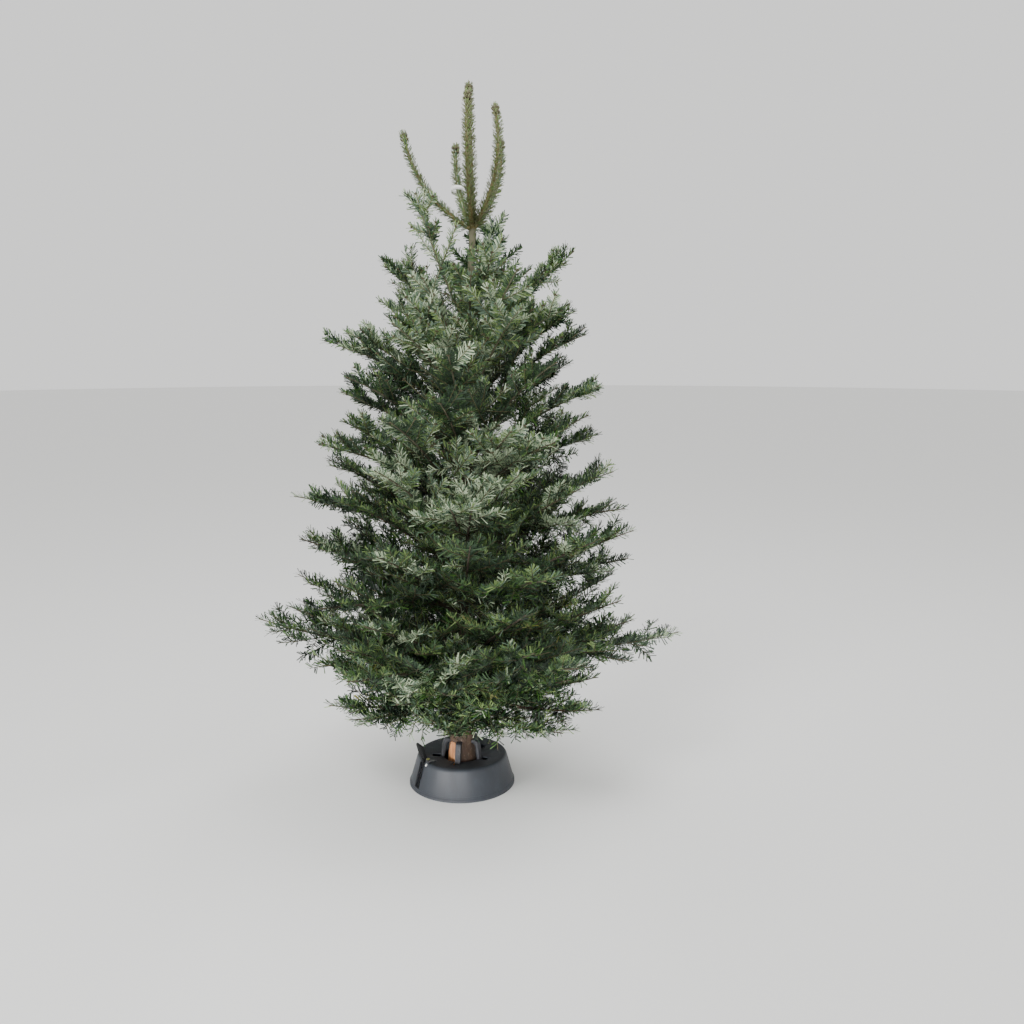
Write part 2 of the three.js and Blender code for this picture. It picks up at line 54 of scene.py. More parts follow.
# A plain pale floor under a pale sky, with a broad key light above the camera's left, a softer one behind and
# two low narrow ones in front for the stand.
bpy.ops.mesh.primitive_circle_add(vertices=96, radius=30, fill_type="NGON")
floor = bpy.context.object
floor.name = "floor"
floor_paint = bpy.data.materials.new("floor_paint")
floor_paint.use_nodes = True
floor_shader = floor_paint.node_tree.nodes["Principled BSDF"]
floor_shader.inputs["Base Color"].default_value = (0.8, 0.8, 0.79, 1)
floor_shader.inputs["Roughness"].default_value = 0.8
floor.data.materials.append(floor_paint)

sky = bpy.data.worlds.new("sky")
sky.use_nodes = True
sky.node_tree.nodes["Background"].inputs["Color"].default_value = (0.87, 0.87, 0.86, 1)
sky.node_tree.nodes["Background"].inputs["Strength"].default_value = 1.28
bpy.context.scene.world = sky

for name, place, aim, width, height, power, spread in [
    ("key_light", (-1.6, -3.2, 4.4), (0, 0, 1.0), 1.8, 1.8, 150, 180),
    ("top_light", (0.9, 0.8, 4.6), (0, 0, 1.2), 2.6, 2.6, 80, 180),
    ("front_light", (-0.1, -2.6, 0.4), (-0.06, 0, 0.05), 1.1, 0.5, 1.3, 16),
    ("left_light", (-1.75, -1.95, 0.4), (-0.06, 0, 0.05), 1.5, 0.5, 2.2, 16),
]:
    light_data = bpy.data.lights.new(name, "AREA")
    light_data.shape = "RECTANGLE"
    light_data.size = width
    light_data.size_y = height
    light_data.energy = power
    light_data.spread = math.radians(spread)
    light = bpy.data.objects.new(name, light_data)
    light.location = place
    light.rotation_euler = (Vector(place) - Vector(aim)).to_track_quat("Z", "Y").to_euler()
    link(light)

# The trunk: one nearly straight stem in brown bark, cracked low down and smooth and grey high up, with a
# swollen collar under each bough and a pale flat pared off the foot, on the left. Its line and its boughs'
# places are the CAD source's, in metres, and it stands on the shell's floor.
TRUNK_TOP = 1.826
TRUNK_FOOT = 0.0083
TRUNK_LEAN = 0.035
TRUNK_TOP_RADIUS = 0.0095
TRUNK_TAPER = 0.0235
TRUNK_FLARE = 0.022
FLARE_HEIGHT = 0.17
# Each row is a level of boughs from the top down: its height, its boughs' age in years, how far they bow up
# as a share of their length, their bare share, and for each bough its bearing, reach and tip height.
WHORLS = [
    (1.792, 1, -0.12, 0.05, [
        (35, 0.11, 2.092), (120, 0.122, 2.083), (183, 0.225, 2.102), (262, 0.09, 2.219), (325, 0.09, 2.182)]),
    (1.46, 2, -0.03, 0.14, [
        (350, 0.34, 1.715), (75, 0.27, 1.85), (165, 0.3, 1.7), (222, 0.215, 1.89), (290, 0.23, 1.7)]),
    (1.29, 2, 0.05, 0.2, [(335, 0.33, 1.525), (65, 0.3, 1.57), (155, 0.3, 1.56), (240, 0.29, 1.53)]),
    (1.12, 3, 0.09, 0.3, [
        (5, 0.39, 1.45), (62, 0.4, 1.48), (120, 0.4, 1.47), (183, 0.455, 1.43), (238, 0.38, 1.48),
        (298, 0.35, 1.64)]),
    (1.0, 3, 0.06, 0.2, [(352, 0.435, 1.28), (95, 0.41, 1.27), (172, 0.415, 1.26), (262, 0.4, 1.25)]),
    (0.88, 4, 0.06, 0.2, [(22, 0.48, 1.11), (140, 0.48, 1.11), (203, 0.475, 1.11), (310, 0.43, 1.13)]),
    (0.725, 5, 0.05, 0.22, [
        (50, 0.52, 0.93), (125, 0.52, 0.93), (188, 0.54, 0.935), (268, 0.48, 0.96), (352, 0.52, 0.895)]),
    (0.57, 5, 0.02, 0.22, [
        (20, 0.595, 0.68), (95, 0.56, 0.69), (160, 0.57, 0.745), (225, 0.56, 0.66), (298, 0.54, 0.76)]),
    (0.41, 6, -0.03, 0.28, [
        (2, 0.705, 0.475), (88, 0.6, 0.52), (177, 0.672, 0.515), (240, 0.59, 0.49), (305, 0.6, 0.52)]),
    (0.285, 4, -0.05, 0.28, [(110, 0.4, 0.3), (198, 0.43, 0.29), (259, 0.3, 0.275), (342, 0.455, 0.28)]),
]
# Weaker boughs that fill the crown between the whorls: the levels above and below, how far down from one to
# the other, how many, the first one's bearing, their share of the reach of the boughs round them, how far
# their tips hang lower than those, and how far their roots stand lower.
BETWEEN = [
    (1, 2, 0.3, 4, 10, 0.8, 0, 0.02),
    (1, 2, 0.65, 4, 50, 0.8, 0, 0.03),
    (2, 3, 0.5, 6, 0, 1.0, 0, 0.04),
    (3, 4, 0.5, 6, 20, 0.92, 0, 0.06),
    (4, 5, 0.5, 7, 40, 0.94, 0, 0.09),
    (5, 6, 0.35, 6, 0, 0.96, 0, 0.11),
    (5, 6, 0.7, 6, 30, 0.9, 0, 0.12),
    (6, 7, 0.5, 8, 8, 0.95, 0, 0.12),
    (7, 8, 0.35, 7, 30, 0.92, 0, 0.12),
    (7, 8, 0.7, 6, 0, 0.88, 0, 0.1),
    (8, 9, 0.3, 6, 20, 0.84, 0, 0.06),
    (8, 9, 0.65, 6, 50, 0.8, 0, 0.03),
    (9, 9, 0, 6, 28, 0.92, 0.03, 0),
    (9, 9, 0.01, 7, 0, 0.62, 0.06, 0),
]
BETWEEN_BARE = 0.6
# The radius at the root of a bough and of a twig: a least one, and what each year adds.
BOUGH_RADIUS = (0.0018, 0.0013)
TWIG_RADIUS = (0.0012, 0.0004)
UP = np.array([0.0, 0.0, 1.0])


def trunk_centre(height):
    height = np.asarray(height, float)
    return np.stack([TRUNK_LEAN * (height / TRUNK_TOP) ** 2, np.zeros_like(height), height], -1)


def trunk_radius(height):
    share = np.maximum(0, 1 - height / TRUNK_TOP)
    return TRUNK_TOP_RADIUS + TRUNK_TAPER * share**1.1 + TRUNK_FLARE * np.exp(-height / FLARE_HEIGHT)


class Dice:
    """Seeded draws, the same on every run and the same as the CAD source's."""

    MOST = 2147483647
    STEP = 16807

    def __init__(self, seed):
        self.state = (seed * 7919 + 104729) % self.MOST
        for _ in range(3):
            self.next()

    def next(self):
        self.state = self.state * self.STEP % self.MOST
        return self.state / self.MOST

    def spread(self, most):
        return (2 * self.next() - 1) * most


def unit(vectors):
    return vectors / np.linalg.norm(vectors, axis=-1, keepdims=True)


@dataclass
class Twig:
    """A bough or a twig on a curve drawn by three points, with its upper side, its age, its bare share, its
    level in the crown, the stem that it grew on and the tint of its needles."""

    root: np.ndarray
    middle: np.ndarray
    tip: np.ndarray
    above: np.ndarray
    years: int
    seed: int
    order: int = 0
    roll: float = 0
    bare: float = 0
    level: int = 0
    stem: object = None
    tint: str = ""

    def __post_init__(self):
        self.length = float(np.linalg.norm(self.tip - self.root))
        least, yearly = TWIG_RADIUS if self.order else BOUGH_RADIUS
        self.thick = least + yearly * self.years

    def frames(self, shares):
        """Points on the twig, with its direction, its side and its upper side there."""
        t = np.asarray(shares, float).reshape(-1, 1)
        points = (1 - t) ** 2 * self.root + 2 * t * (1 - t) * self.middle + t**2 * self.tip
        along = unit((1 - t) * (self.middle - self.root) + t * (self.tip - self.middle))
        level = unit(np.cross(along, self.above))
        side = math.cos(self.roll) * level + math.sin(self.roll) * np.cross(along, level)
        return points, along, side, np.cross(side, along)


def bough_at(height, bearing, reach, tip_height, years, bow, bare, seed, level):
    root = trunk_centre(height)
    turn = math.radians(bearing)
    tip = np.array([root[0] + reach * math.cos(turn), reach * math.sin(turn), tip_height])
    length = np.linalg.norm(tip - root)
    along = (tip - root) / length
    up = unit(np.cross(unit(np.cross(along, UP)), along))
    middle = (root + tip) / 2 + 2 * bow * length * up
    return Twig(root, middle, tip, UP, years, seed, 0, 0, bare, level)


def between(above, below, down, count, first, share, drop, dip):
    """Boughs between two levels, each like the ones round it above and below."""
    row_seed = round(100 * (above + down))
    dice = Dice(900 + row_seed)
    weights = [(WHORLS[above], 1 - down), (WHORLS[below], down)]
    height, years, bow, bare = [sum(row[k] * weight for row, weight in weights) for k in range(4)]
    bare *= BETWEEN_BARE
    root = height - dip
    made = []
    for i in range(count):
        bearing = first + 360 * i / count + dice.spread(9)
        reach = 0
        rise = 0
        for (level_height, *_, rows), weight in weights:
            bearings, reaches, tips = zip(*rows)
            reach += weight * np.interp(bearing, bearings, reaches, period=360)
            rise += weight * (np.interp(bearing, bearings, tips, period=360) - level_height)
        reach *= share * (1 + dice.spread(0.06))
        rise *= share * (1 + dice.spread(0.15))
        tip_height = height + rise - drop
        seed = 3000 + row_seed + 7 * i
        made.append(bough_at(root, bearing, reach, tip_height, math.floor(years), bow, bare, seed, above))
    return made


boughs = []
for level, (height, years, bow, bare, rows) in enumerate(WHORLS):
    for i, (bearing, reach, tip_height) in enumerate(rows):
        seed = 100 * level + 7 * i + 3
        boughs.append(bough_at(height, bearing, reach, tip_height, years, bow, bare, seed, level))
for row in BETWEEN:
    boughs += between(*row)


class Field:
    """A shader value that adds and multiplies like a number."""

    def __init__(self, tree, socket=None):
        self.tree = tree
        self.socket = socket

    def node(self, kind, settings, inputs, output=0):
        made = self.tree.nodes.new("ShaderNode" + kind)
        for key, value in settings.items():
            setattr(made, key, value)
        for key, value in inputs.items():
            self.feed(made.inputs[key], value)
        return Field(self.tree, made.outputs[output])

    def feed(self, socket, value):
        if isinstance(value, Field):
            self.tree.links.new(value.socket, socket)
        else:
            socket.default_value = value

    def calculate(self, operation, first, second):
        return self.node("Math", {"operation": operation}, {0: first, 1: second})

    def __add__(self, other):
        return self.calculate("ADD", self, other)

    def __mul__(self, other):
        return self.calculate("MULTIPLY", self, other)

    def __rsub__(self, other):
        return self.calculate("SUBTRACT", other, self)

    __radd__ = __add__
    __rmul__ = __mul__

    def ramp(self, low, high):
        """0 below low, 1 above high, and a straight rise between."""
        return self.node("MapRange", {}, {"Value": self, "From Min": low, "From Max": high})

    def mix(self, first, second):
        """The first colour where this field is 0, and the second where it is 1. Inputs 6 and 7 and output 2
        are the Mix node's sockets for colours."""
        return self.node("Mix", {"data_type": "RGBA"}, {0: self, 6: first, 7: second}, 2)

    def noise(self, size, stretch=(1, 1, 1), detail=3.0, rough=0.55):
        """Cloudy noise whose patches are about size metres across."""
        place = self.node("TexCoord", {}, {}, "Object")
        scaled = self.node("VectorMath", {"operation": "MULTIPLY"}, {0: place, 1: stretch})
        inputs = {"Vector": scaled, "Scale": 1 / size, "Detail": detail, "Roughness": rough}
        return self.node("TexNoise", {}, inputs)

    def height(self):
        place = self.node("TexCoord", {}, {}, "Object")
        return self.node("SeparateXYZ", {}, {0: place}, "Z")

    def facing_up(self):
        normal = self.node("NewGeometry", {}, {}, "Normal")
        return self.node("SeparateXYZ", {}, {0: normal}, "Z")

    def bump(self, height, depth):
        return self.node("Bump", {}, {"Strength": 1.0, "Distance": depth, "Height": height})


def colour(code):
    """A hex colour, as on a screen, in Blender's linear numbers."""
    parts = [(code >> shift & 255) / 255 for shift in (16, 8, 0)]
    return (*[p / 12.92 if p <= 0.04045 else ((p + 0.055) / 1.055) ** 2.4 for p in parts], 1)


def material(name, build):
    """A new material. build takes a blank field and returns the shader's inputs by name."""
    made = bpy.data.materials.new(name)
    made.use_nodes = True
    blank = Field(made.node_tree)
    shader = made.node_tree.nodes["Principled BSDF"]
    for key, value in build(blank).items():
        blank.feed(shader.inputs[key], value)
    return made


def bark_inputs(f):
    patches = f.noise(0.05, (1, 1, 0.6))
    flecks = f.noise(0.006, (1, 1, 0.45), 4.0, 0.7)
    cracks = f.noise(0.016, (1, 1, 0.22), 5.0, 0.65)
    young = f.height().ramp(0.8, 1.5)
    foot = patches.ramp(0.35, 0.65).mix(colour(0x382A20), colour(0x523E30))
    stem = patches.ramp(0.35, 0.65).mix(colour(0x453D33), colour(0x655A4B))
    brown = f.height().ramp(0.2, 0.42).mix(foot, stem)
    grey = patches.ramp(0.35, 0.65).mix(colour(0x5C5A46), colour(0x7A7760))
    base = young.mix(brown, grey)
    marked = flecks.ramp(0.6, 0.76).mix(base, colour(0x8A7F70))
    dark = (1 - cracks.ramp(0.34, 0.46)) * (1 - 0.6 * young)
    return {
        "Base Color": dark.mix(marked, colour(0x2E261F)),
        "Roughness": 0.72 + 0.2 * patches,
        "Normal": f.bump(0.7 * cracks + 0.3 * flecks, 0.0022),
    }


def cut_wood_inputs(f):
    fibres = f.noise(0.004, (1, 1, 0.06), 3.0, 0.6)
    stain = f.noise(0.03, (1, 1, 0.5))
    pale = fibres.ramp(0.3, 0.7).mix(colour(0xB07045), colour(0xD49A6B))
    return {
        "Base Color": stain.ramp(0.52, 0.75).mix(pale, colour(0x8E4F2C)),
        "Roughness": 0.6 + 0.2 * fibres,
        "Normal": f.bump(fibres, 0.0015),
    }


def mesh_piece(name, points, triangles, materials, slots=None, smooth=True):
    """A new object from arrays of points and triangles."""
    points = np.asarray(points, np.float32).reshape(-1, 3)
    triangles = np.asarray(triangles, np.int32).reshape(-1, 3)
    mesh = bpy.data.meshes.new(name)
    mesh.vertices.add(len(points))
    mesh.vertices.foreach_set("co", points.ravel())
    mesh.loops.add(triangles.size)
    mesh.loops.foreach_set("vertex_index", triangles.ravel())
    mesh.polygons.add(len(triangles))
    mesh.polygons.foreach_set("loop_start", np.arange(0, triangles.size, 3, dtype=np.int32))
    mesh.polygons.foreach_set("use_smooth", np.full(len(triangles), smooth))
    for made in materials:
        mesh.materials.append(made)
    if slots is not None:
        mesh.polygons.foreach_set("material_index", np.asarray(slots, np.int32))
    mesh.update(calc_edges=True)
    mesh.validate()
    piece = bpy.data.objects.new(name, mesh)
    link(piece)
    return piece


def tube_triangles(rings, sides):
    """The wall between rings of points, and a flat fan over each end."""
    ring = np.arange(rings - 1)[:, None] * sides
    side = np.arange(sides)
    a = (ring + side).ravel()
    b = (ring + (side + 1) % sides).ravel()
    wall = np.concatenate([np.stack([a, b, b + sides], 1), np.stack([a, b + sides, a + sides], 1)])
    k = np.arange(1, sides - 1)
    near = np.stack([np.zeros_like(k), k + 1, k], 1)
    far = np.stack([np.zeros_like(k), k, k + 1], 1) + (rings - 1) * sides
    return np.concatenate([wall, near, far])


def relief(turn, height, seed, lobes, waves, count=40):
    """Smooth seeded bumps round a stem, between -1 and 1."""
    rng = np.random.default_rng(seed)
    total = np.zeros(np.broadcast(turn, height).shape)
    for _ in range(count):
        phase = rng.uniform(0, 2 * math.pi)
        total += np.cos(rng.integers(0, lobes) * turn + rng.uniform(-waves, waves) * height + phase)
    return total / math.sqrt(count)


TRUNK_SIDES = 44
TRUNK_RINGS = 380
UNEVENNESS = 0.02
BARK_DEPTH = 0.0003
FOOT_BARK_DEPTH = 0.0007
FOOT_BARK_HEIGHT = 0.35
COLLAR_DEPTH = 0.0012
COLLAR_GROWTH = 0.0009
COLLAR_TURN = 0.6
COLLAR_RISE = 0.004
COLLAR_HEIGHT = 0.014
PARING_BEARING = math.radians(224)
PARING_DEPTH = 0.039
PARING_MARKS = 0.0005
PARING_TOP = 0.147
PARING_FADE = 0.012
PARING_RUN_OUT = 0.02
LEAST_PARED = 0.0002

heights = TRUNK_FOOT + (TRUNK_TOP - TRUNK_FOOT) * np.linspace(0, 1, TRUNK_RINGS) ** 1.1
h = heights[:, None]
turn = np.linspace(0, 2 * math.pi, TRUNK_SIDES, endpoint=False)[None, :]
radius = trunk_radius(h) * (1 + UNEVENNESS * relief(turn, h, 3, 5, 12))
bark_depth = BARK_DEPTH + FOOT_BARK_DEPTH * np.exp(-h / FOOT_BARK_HEIGHT)
radius = radius + bark_depth * relief(turn, h, 4, 16, 160)
for bough in boughs:
    bearing = math.atan2(*(bough.tip - bough.root)[[1, 0]])
    off = (turn - bearing + math.pi) % (2 * math.pi) - math.pi
    away = h - bough.root[2] - COLLAR_RISE
    swell = np.exp(-((off / COLLAR_TURN) ** 2) - (away / COLLAR_HEIGHT) ** 2)
    radius = radius + (COLLAR_DEPTH + COLLAR_GROWTH * bough.years) * swell
centre = trunk_centre(heights)
trunk_points = np.stack(
    [radius * np.cos(turn) + centre[:, :1], radius * np.sin(turn), np.broadcast_to(h, radius.shape)], 2
)
outward = np.array([math.cos(PARING_BEARING), math.sin(PARING_BEARING)])
run_out = PARING_RUN_OUT * np.clip((h - PARING_TOP + PARING_FADE) / PARING_FADE, 0, 1)
flat = PARING_DEPTH + PARING_MARKS * relief(turn, h, 5, 9, 90) + run_out
excess = np.maximum(0, trunk_points[:, :, :2] @ outward - flat)
trunk_points[:, :, :2] -= excess[:, :, None] * outward
trunk_triangles = tube_triangles(TRUNK_RINGS, TRUNK_SIDES)
is_pared = (excess > LEAST_PARED).ravel()[trunk_triangles].sum(1) >= 2
is_foot = np.all(trunk_triangles < TRUNK_SIDES, axis=1)
bark = material("bark", bark_inputs)
cut_wood = material("cut_wood", cut_wood_inputs)
trunk = mesh_piece(
    "trunk_bark", trunk_points, trunk_triangles, [bark, cut_wood], np.where(is_pared | is_foot, 1, 0)
)
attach(trunk, "tree")
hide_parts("trunk")


# The boughs and the twigs: round woody rods that taper to their tips. A bough is knotted where it branched
# and has the trunk's bark, and a twig's is thin and tan, paler high up. Side twigs leave a bough by the CAD
# source's rule and draws, weak ones fill the crown between them, and a knot of them thickens its end.
FORK_ANGLE = 50
FORK_SHARE = 0.6
FORK_LIFT = 0.14
SHARE_END = 1.06
DROOP = 0.02
YOUNG = 3
YOUNG_SHARE = 0.6
LEAST_ON_BOUGH = 0.055
LEAST_ON_TWIG = 0.028
# Weak twigs: their share of the parent's length and the longest, in general and on the upper boughs.
SHORT_TWIGS = (0.3, 0.12)
UPPER_SHORT_TWIGS = (0.42, 0.16)
LEAST_SHORT = 0.046
UPPER_LEVELS = 3
SPARSE_FROM = 4
LOWEST = len(WHORLS) - 1
END_TWIGS = 6
LONGEST_END_TWIG = 0.085
MASSES = sorted(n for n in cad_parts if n.startswith(("foliage_", "top_shoot_", "leader_")))


def side_twig(parent, t, hand, angle, length, lift, roll, years):
    """A twig on one side of its parent, at a share t of its length, which droops a little and then rises."""
    points, along, side, up = (rows[0] for rows in parent.frames([t]))
    out = unit(math.cos(angle) * along + math.sin(angle) * hand * side + lift * up)
    tip = points + length * (out + 0.1 * along)
    middle = points + length * (0.5 * out - DROOP * up)
    seed = parent.seed * 31 + round(1000 * t) + hand
    return Twig(points, middle, tip, up, years, seed, parent.order + 1, roll, 0, parent.level, parent)


def side_twigs(parent):
    """A pair at each year's node, and on young twigs a shorter one between nodes by turns."""
    dice = Dice(parent.seed)
    stations = []
    for node in range(1, parent.years):
        stations.append((node / parent.years, 1, (-1, 1), parent.years - node))
        if parent.years <= YOUNG:
            stations.append(((node + 0.5) / parent.years, YOUNG_SHARE, (1 if node % 2 else -1,), 1))
    least = LEAST_ON_TWIG if parent.order else LEAST_ON_BOUGH
    grown = []
    for t, share, hands, years in stations:
        for hand in hands:
            angle = math.radians(FORK_ANGLE + dice.spread(6))
            length = FORK_SHARE * share * (SHARE_END - t) * parent.length * (1 + dice.spread(0.1))
            lift = FORK_LIFT + dice.spread(0.24)
            roll = math.radians(dice.spread(46))
            if t >= parent.bare and length >= least:
                at = t + 0.004 * hand / parent.length
                grown.append(side_twig(parent, at, hand, angle, length, lift, roll, years))
    return grown


def short_twigs(parent):
    """Weak twigs between the nodes, which stand up or hang out of the fan. The lowest boughs' hang down."""
    dice = Dice(parent.seed + 77)
    hands = (-1, 1)
    share, most = SHORT_TWIGS
    if parent.order == 0:
        hands *= 1 if SPARSE_FROM <= parent.level < LOWEST else 2
        if parent.level < UPPER_LEVELS:
            share, most = UPPER_SHORT_TWIGS
    grown = []
    for season in range(parent.years):
        for hand in hands:
            t = (season + 0.2 + 0.6 * dice.next()) / parent.years
            length = (share + dice.spread(0.1)) * (SHARE_END - t) * parent.length
            angle = math.radians(52 + dice.spread(12))
            lift = dice.spread(0.75)
            if parent.level == LOWEST:
                lift = -0.35 - abs(lift)
            if t > 0.8 * parent.bare and length > LEAST_SHORT:
                grown.append(side_twig(parent, t, hand, angle, min(length, most), lift, dice.spread(0.9), 1))
    return grown


def end_twigs(parent):
    """The knot of rising twigs that thickens a bough's end."""
    dice = Dice(parent.seed + 171)
    grown = []
    for k in range(END_TWIGS):
        t = 0.66 + 0.22 * dice.next()
        angle = math.radians(38 + dice.spread(14))
        length = min((0.6 + dice.spread(0.2)) * parent.length / parent.years, LONGEST_END_TWIG)
        lift = 0.35 + dice.spread(0.45)
        hand = 1 if k % 2 else -1
        grown.append(side_twig(parent, t, hand, angle, length, lift, dice.spread(0.9), 1))
    return grown


fans = [bough for bough in boughs if bough.years > 1]
twigs = []
growing = list(fans)
while growing:
    parent = growing.pop(0)
    grown = side_twigs(parent) if parent.order < 2 or parent.years > 2 else []
    if parent.order < 2:
        grown += short_twigs(parent)
    if parent.order == 0:
        grown += end_twigs(parent)
    twigs += grown
    growing += grown


def twig_inputs(f):
    patches = f.noise(0.02)
    flecks = f.noise(0.0025, (1, 1, 1), 2.0)
    old = patches.ramp(0.35, 0.65).mix(colour(0x4C4832), colour(0x686145))
    tan = f.height().ramp(0.9, 1.4).mix(old, colour(0x7A7554))
    return {
        "Base Color": flecks.ramp(0.5, 0.7).mix(tan, colour(0x352B1F)),
        "Roughness": 0.6 + 0.25 * flecks,
        "Normal": f.bump(flecks, 0.0006),
    }


KNOT_SWELL = 0.22
KNOT_LENGTH = 0.05


def tube(twig, thick, thin, sides, rings, rough=0.0):
    """The points of a twig's tube, with its radius at the root and at the tip."""
    t = np.linspace(0, 1, rings)
    points, _, side, up = twig.frames(t)
    turn = np.linspace(0, 2 * math.pi, sides, endpoint=False)[None, :]
    radius = (thick + (thin - thick) * t)[:, None] * np.ones((1, sides))
    if rough:
        knots = KNOT_SWELL * np.exp(-(((t * twig.years + 0.5) % 1 - 0.5) / KNOT_LENGTH) ** 2)[:, None]
        radius = radius * (1 + knots + rough * relief(turn, t[:, None], twig.seed, 5, 140, 16))
    ring = np.cos(turn)[:, :, None] * side[:, None, :] + np.sin(turn)[:, :, None] * up[:, None, :]
    return (points[:, None, :] + radius[:, :, None] * ring).reshape(-1, 3)


def join_tubes(name, tubes, paint, cad_nodes):
    """Tubes of (points, rings, sides) as one piece."""
    start = 0
    points = []
    triangles = []
    for made, rings, sides in tubes:
        points.append(made)
        triangles.append(tube_triangles(rings, sides) + start)
        start += len(made)
    piece = mesh_piece(name, np.concatenate(points), np.concatenate(triangles), [paint])
    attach(piece, "tree")
    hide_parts(*cad_nodes)
    return piece


BOUGH_TIP_RADIUS = 0.0016
BOUGH_SIDES = 8
BOUGH_RING_STEP = 0.012
ROUGHNESS = 0.05
TWIG_TIP_RADIUS = 0.001
# The sides and rings of a twig's tube, by how many times it has branched off from its bough.
TWIG_MESH = {1: (4, 5), 2: (3, 4), 3: (3, 3)}

bough_tubes = []
for bough in fans:
    rings = round(bough.length / BOUGH_RING_STEP)
    points = tube(bough, bough.thick, BOUGH_TIP_RADIUS, BOUGH_SIDES, rings, ROUGHNESS)
    bough_tubes.append((points, rings, BOUGH_SIDES))
join_tubes("boughs", bough_tubes, bark, ["bough_3_4", "bough_3_6"])

twig_tubes = []
for twig in twigs:
    sides, rings = TWIG_MESH[twig.order]
    twig_tubes.append((tube(twig, twig.thick, TWIG_TIP_RADIUS, sides, rings), rings, sides))
join_tubes("twigs", twig_tubes, material("twig_bark", twig_inputs), MASSES)


# The top shoots: the leader, which carries the trunk on, and five upright shoots round it. They are last
# summer's wood, stout and still soft, in smooth olive bark, and none has branched yet.
LEADER_OVERLAP = 0.0045
LEADER = (-0.014, 0, 0.441)
SHOOT_RADIUS = 0.0072
SHOOT_TIP_RADIUS = 0.0046
SHOOT_SIDES = 12
SHOOT_RINGS = 32
BACK = np.array([0.0, 1.0, 0.0])


def shoot_inputs(f):
    patches = f.noise(0.03)
    flecks = f.noise(0.003, (1, 1, 1), 2.0)
    olive = patches.ramp(0.35, 0.65).mix(colour(0x66603A), colour(0x7C7248))
    return {
        "Base Color": flecks.ramp(0.5, 0.7).mix(olive, colour(0x5A4A30)),
        "Roughness": 0.55 + 0.25 * flecks,
        "Normal": f.bump(flecks, 0.0006),
    }


leader_root = trunk_centre(TRUNK_TOP - LEADER_OVERLAP)
leader_tip = leader_root + LEADER
leader = Twig(leader_root, (leader_root + leader_tip) / 2, leader_tip, BACK, 1, 1)
shoots = [leader, *(bough for bough in boughs if bough.years == 1)]
shoot_tubes = []
for shoot in shoots:
    points = tube(shoot, SHOOT_RADIUS, SHOOT_TIP_RADIUS, SHOOT_SIDES, SHOOT_RINGS, ROUGHNESS)
    shoot_tubes.append((points, SHOOT_RINGS, SHOOT_SIDES))
shoot_nodes = [n for n in MASSES if not n.startswith("foliage_")]
join_tubes("top_shoot_wood", shoot_tubes, material("shoot_bark", shoot_inputs), shoot_nodes)


# The needles: flat and blunt, green above and paler below, combed to both sides of a side twig and all round
# an upright shoot. Each is a closed blade of four faces. A spray takes a tint by its place in the crown, or
# keeps its stem's, and the blades of each tint are joined.
NEEDLE_LENGTH = 0.028
NEEDLE_WIDTH = 0.004
NEEDLE_THICK = 0.0004
NEEDLE_ROOT = 0.55
NEEDLE_TIP = 0.85
FIRST_NEEDLE = 0.03
PIECE_LIMIT = 48000
TINTS = {
    "deep": (0x15251A, 0x384C38),
    "green": (0x203E1C, 0x4E6C44),
    "fresh": (0x456B2A, 0x7F985A),
    "blue": (0x30483A, 0x6E8670),
    # Painted sheen: a pale silver-green, above and below, that paints the sky's glint on glossy needles.
    "painted_sheen": (0xA9BC98, 0xC6D5B4),
    "olive": (0x60653F, 0x8A8E6A),
    "yellow": (0x8F8E48, 0xA8AA70),
}
# The share of each tint, in the order above: in the depth of the crown, and for its outside the height that
# a band of it reaches up to, the shares there, and the shares on its front. The palest tint is painted sheen,
# so the front of the middle band, which takes most of it, has the sky's glint painted into its colour.
INNER_SHARES = [0.08, 0.34, 0.18, 0.34, 0.06, 0, 0]
LOWER_SHARES = [0.34, 0.35, 0.19, 0.07, 0.05, 0, 0]
PAINTED_SHEEN_SHARES = [0.02, 0.08, 0.05, 0.28, 0.57, 0, 0]
MIDDLE_SHARES = [0.28, 0.34, 0.12, 0.2, 0.06, 0, 0]
# Painted shade: from 1.18 m to 1.36 m high the crown's outside takes mostly the darkest tint, a dark band.
SHADE_BAND_SHARES = [0.48, 0.34, 0.04, 0.14, 0, 0, 0]
UPPER_SHARES = [0.08, 0.22, 0.08, 0.42, 0.2, 0, 0]
BANDS = [
    (0.9, LOWER_SHARES, LOWER_SHARES),
    (1.18, MIDDLE_SHARES, PAINTED_SHEEN_SHARES),
    (1.36, SHADE_BAND_SHARES, SHADE_BAND_SHARES),
    (9, UPPER_SHARES, UPPER_SHARES),
]
FRONT = -0.12
FRONT_LEFT = -0.24
FRONT_RIGHT = 0.3
KEPT_TINTS = 0.75
YELLOW_SHARE = 0.04
YELLOW_DEPTH = 0.5
# In every spray some needles take the next darker or the next lighter tint, but these are mixed as given.
STRAYS = [0.3, 0.44, 0.26]
MIXES = {
    "painted_sheen": {"green": 0.15, "blue": 0.25, "painted_sheen": 0.6},
    "olive": {"fresh": 0.3, "olive": 0.7},
    "yellow": {"fresh": 0.55, "yellow": 0.45},
}
# The crown's reach by height, and the share of it that its depth reaches out to.
CROWN = ([0.25, 0.5, 0.95, 1.45, 1.9], [0.42, 0.62, 0.46, 0.38, 0.2])
INNER_DEPTH = 0.42
# Needles to a metre of twig: in the depth of the crown, and outside it by height, then by depth.
INNER_DENSITY = 190
DENSITY_BY_HEIGHT = ([0.6, 1.0, 1.3], [400, 490, 800])
DENSITY_BY_DEPTH = ([INNER_DEPTH, 0.85], [0.78, 1.4])
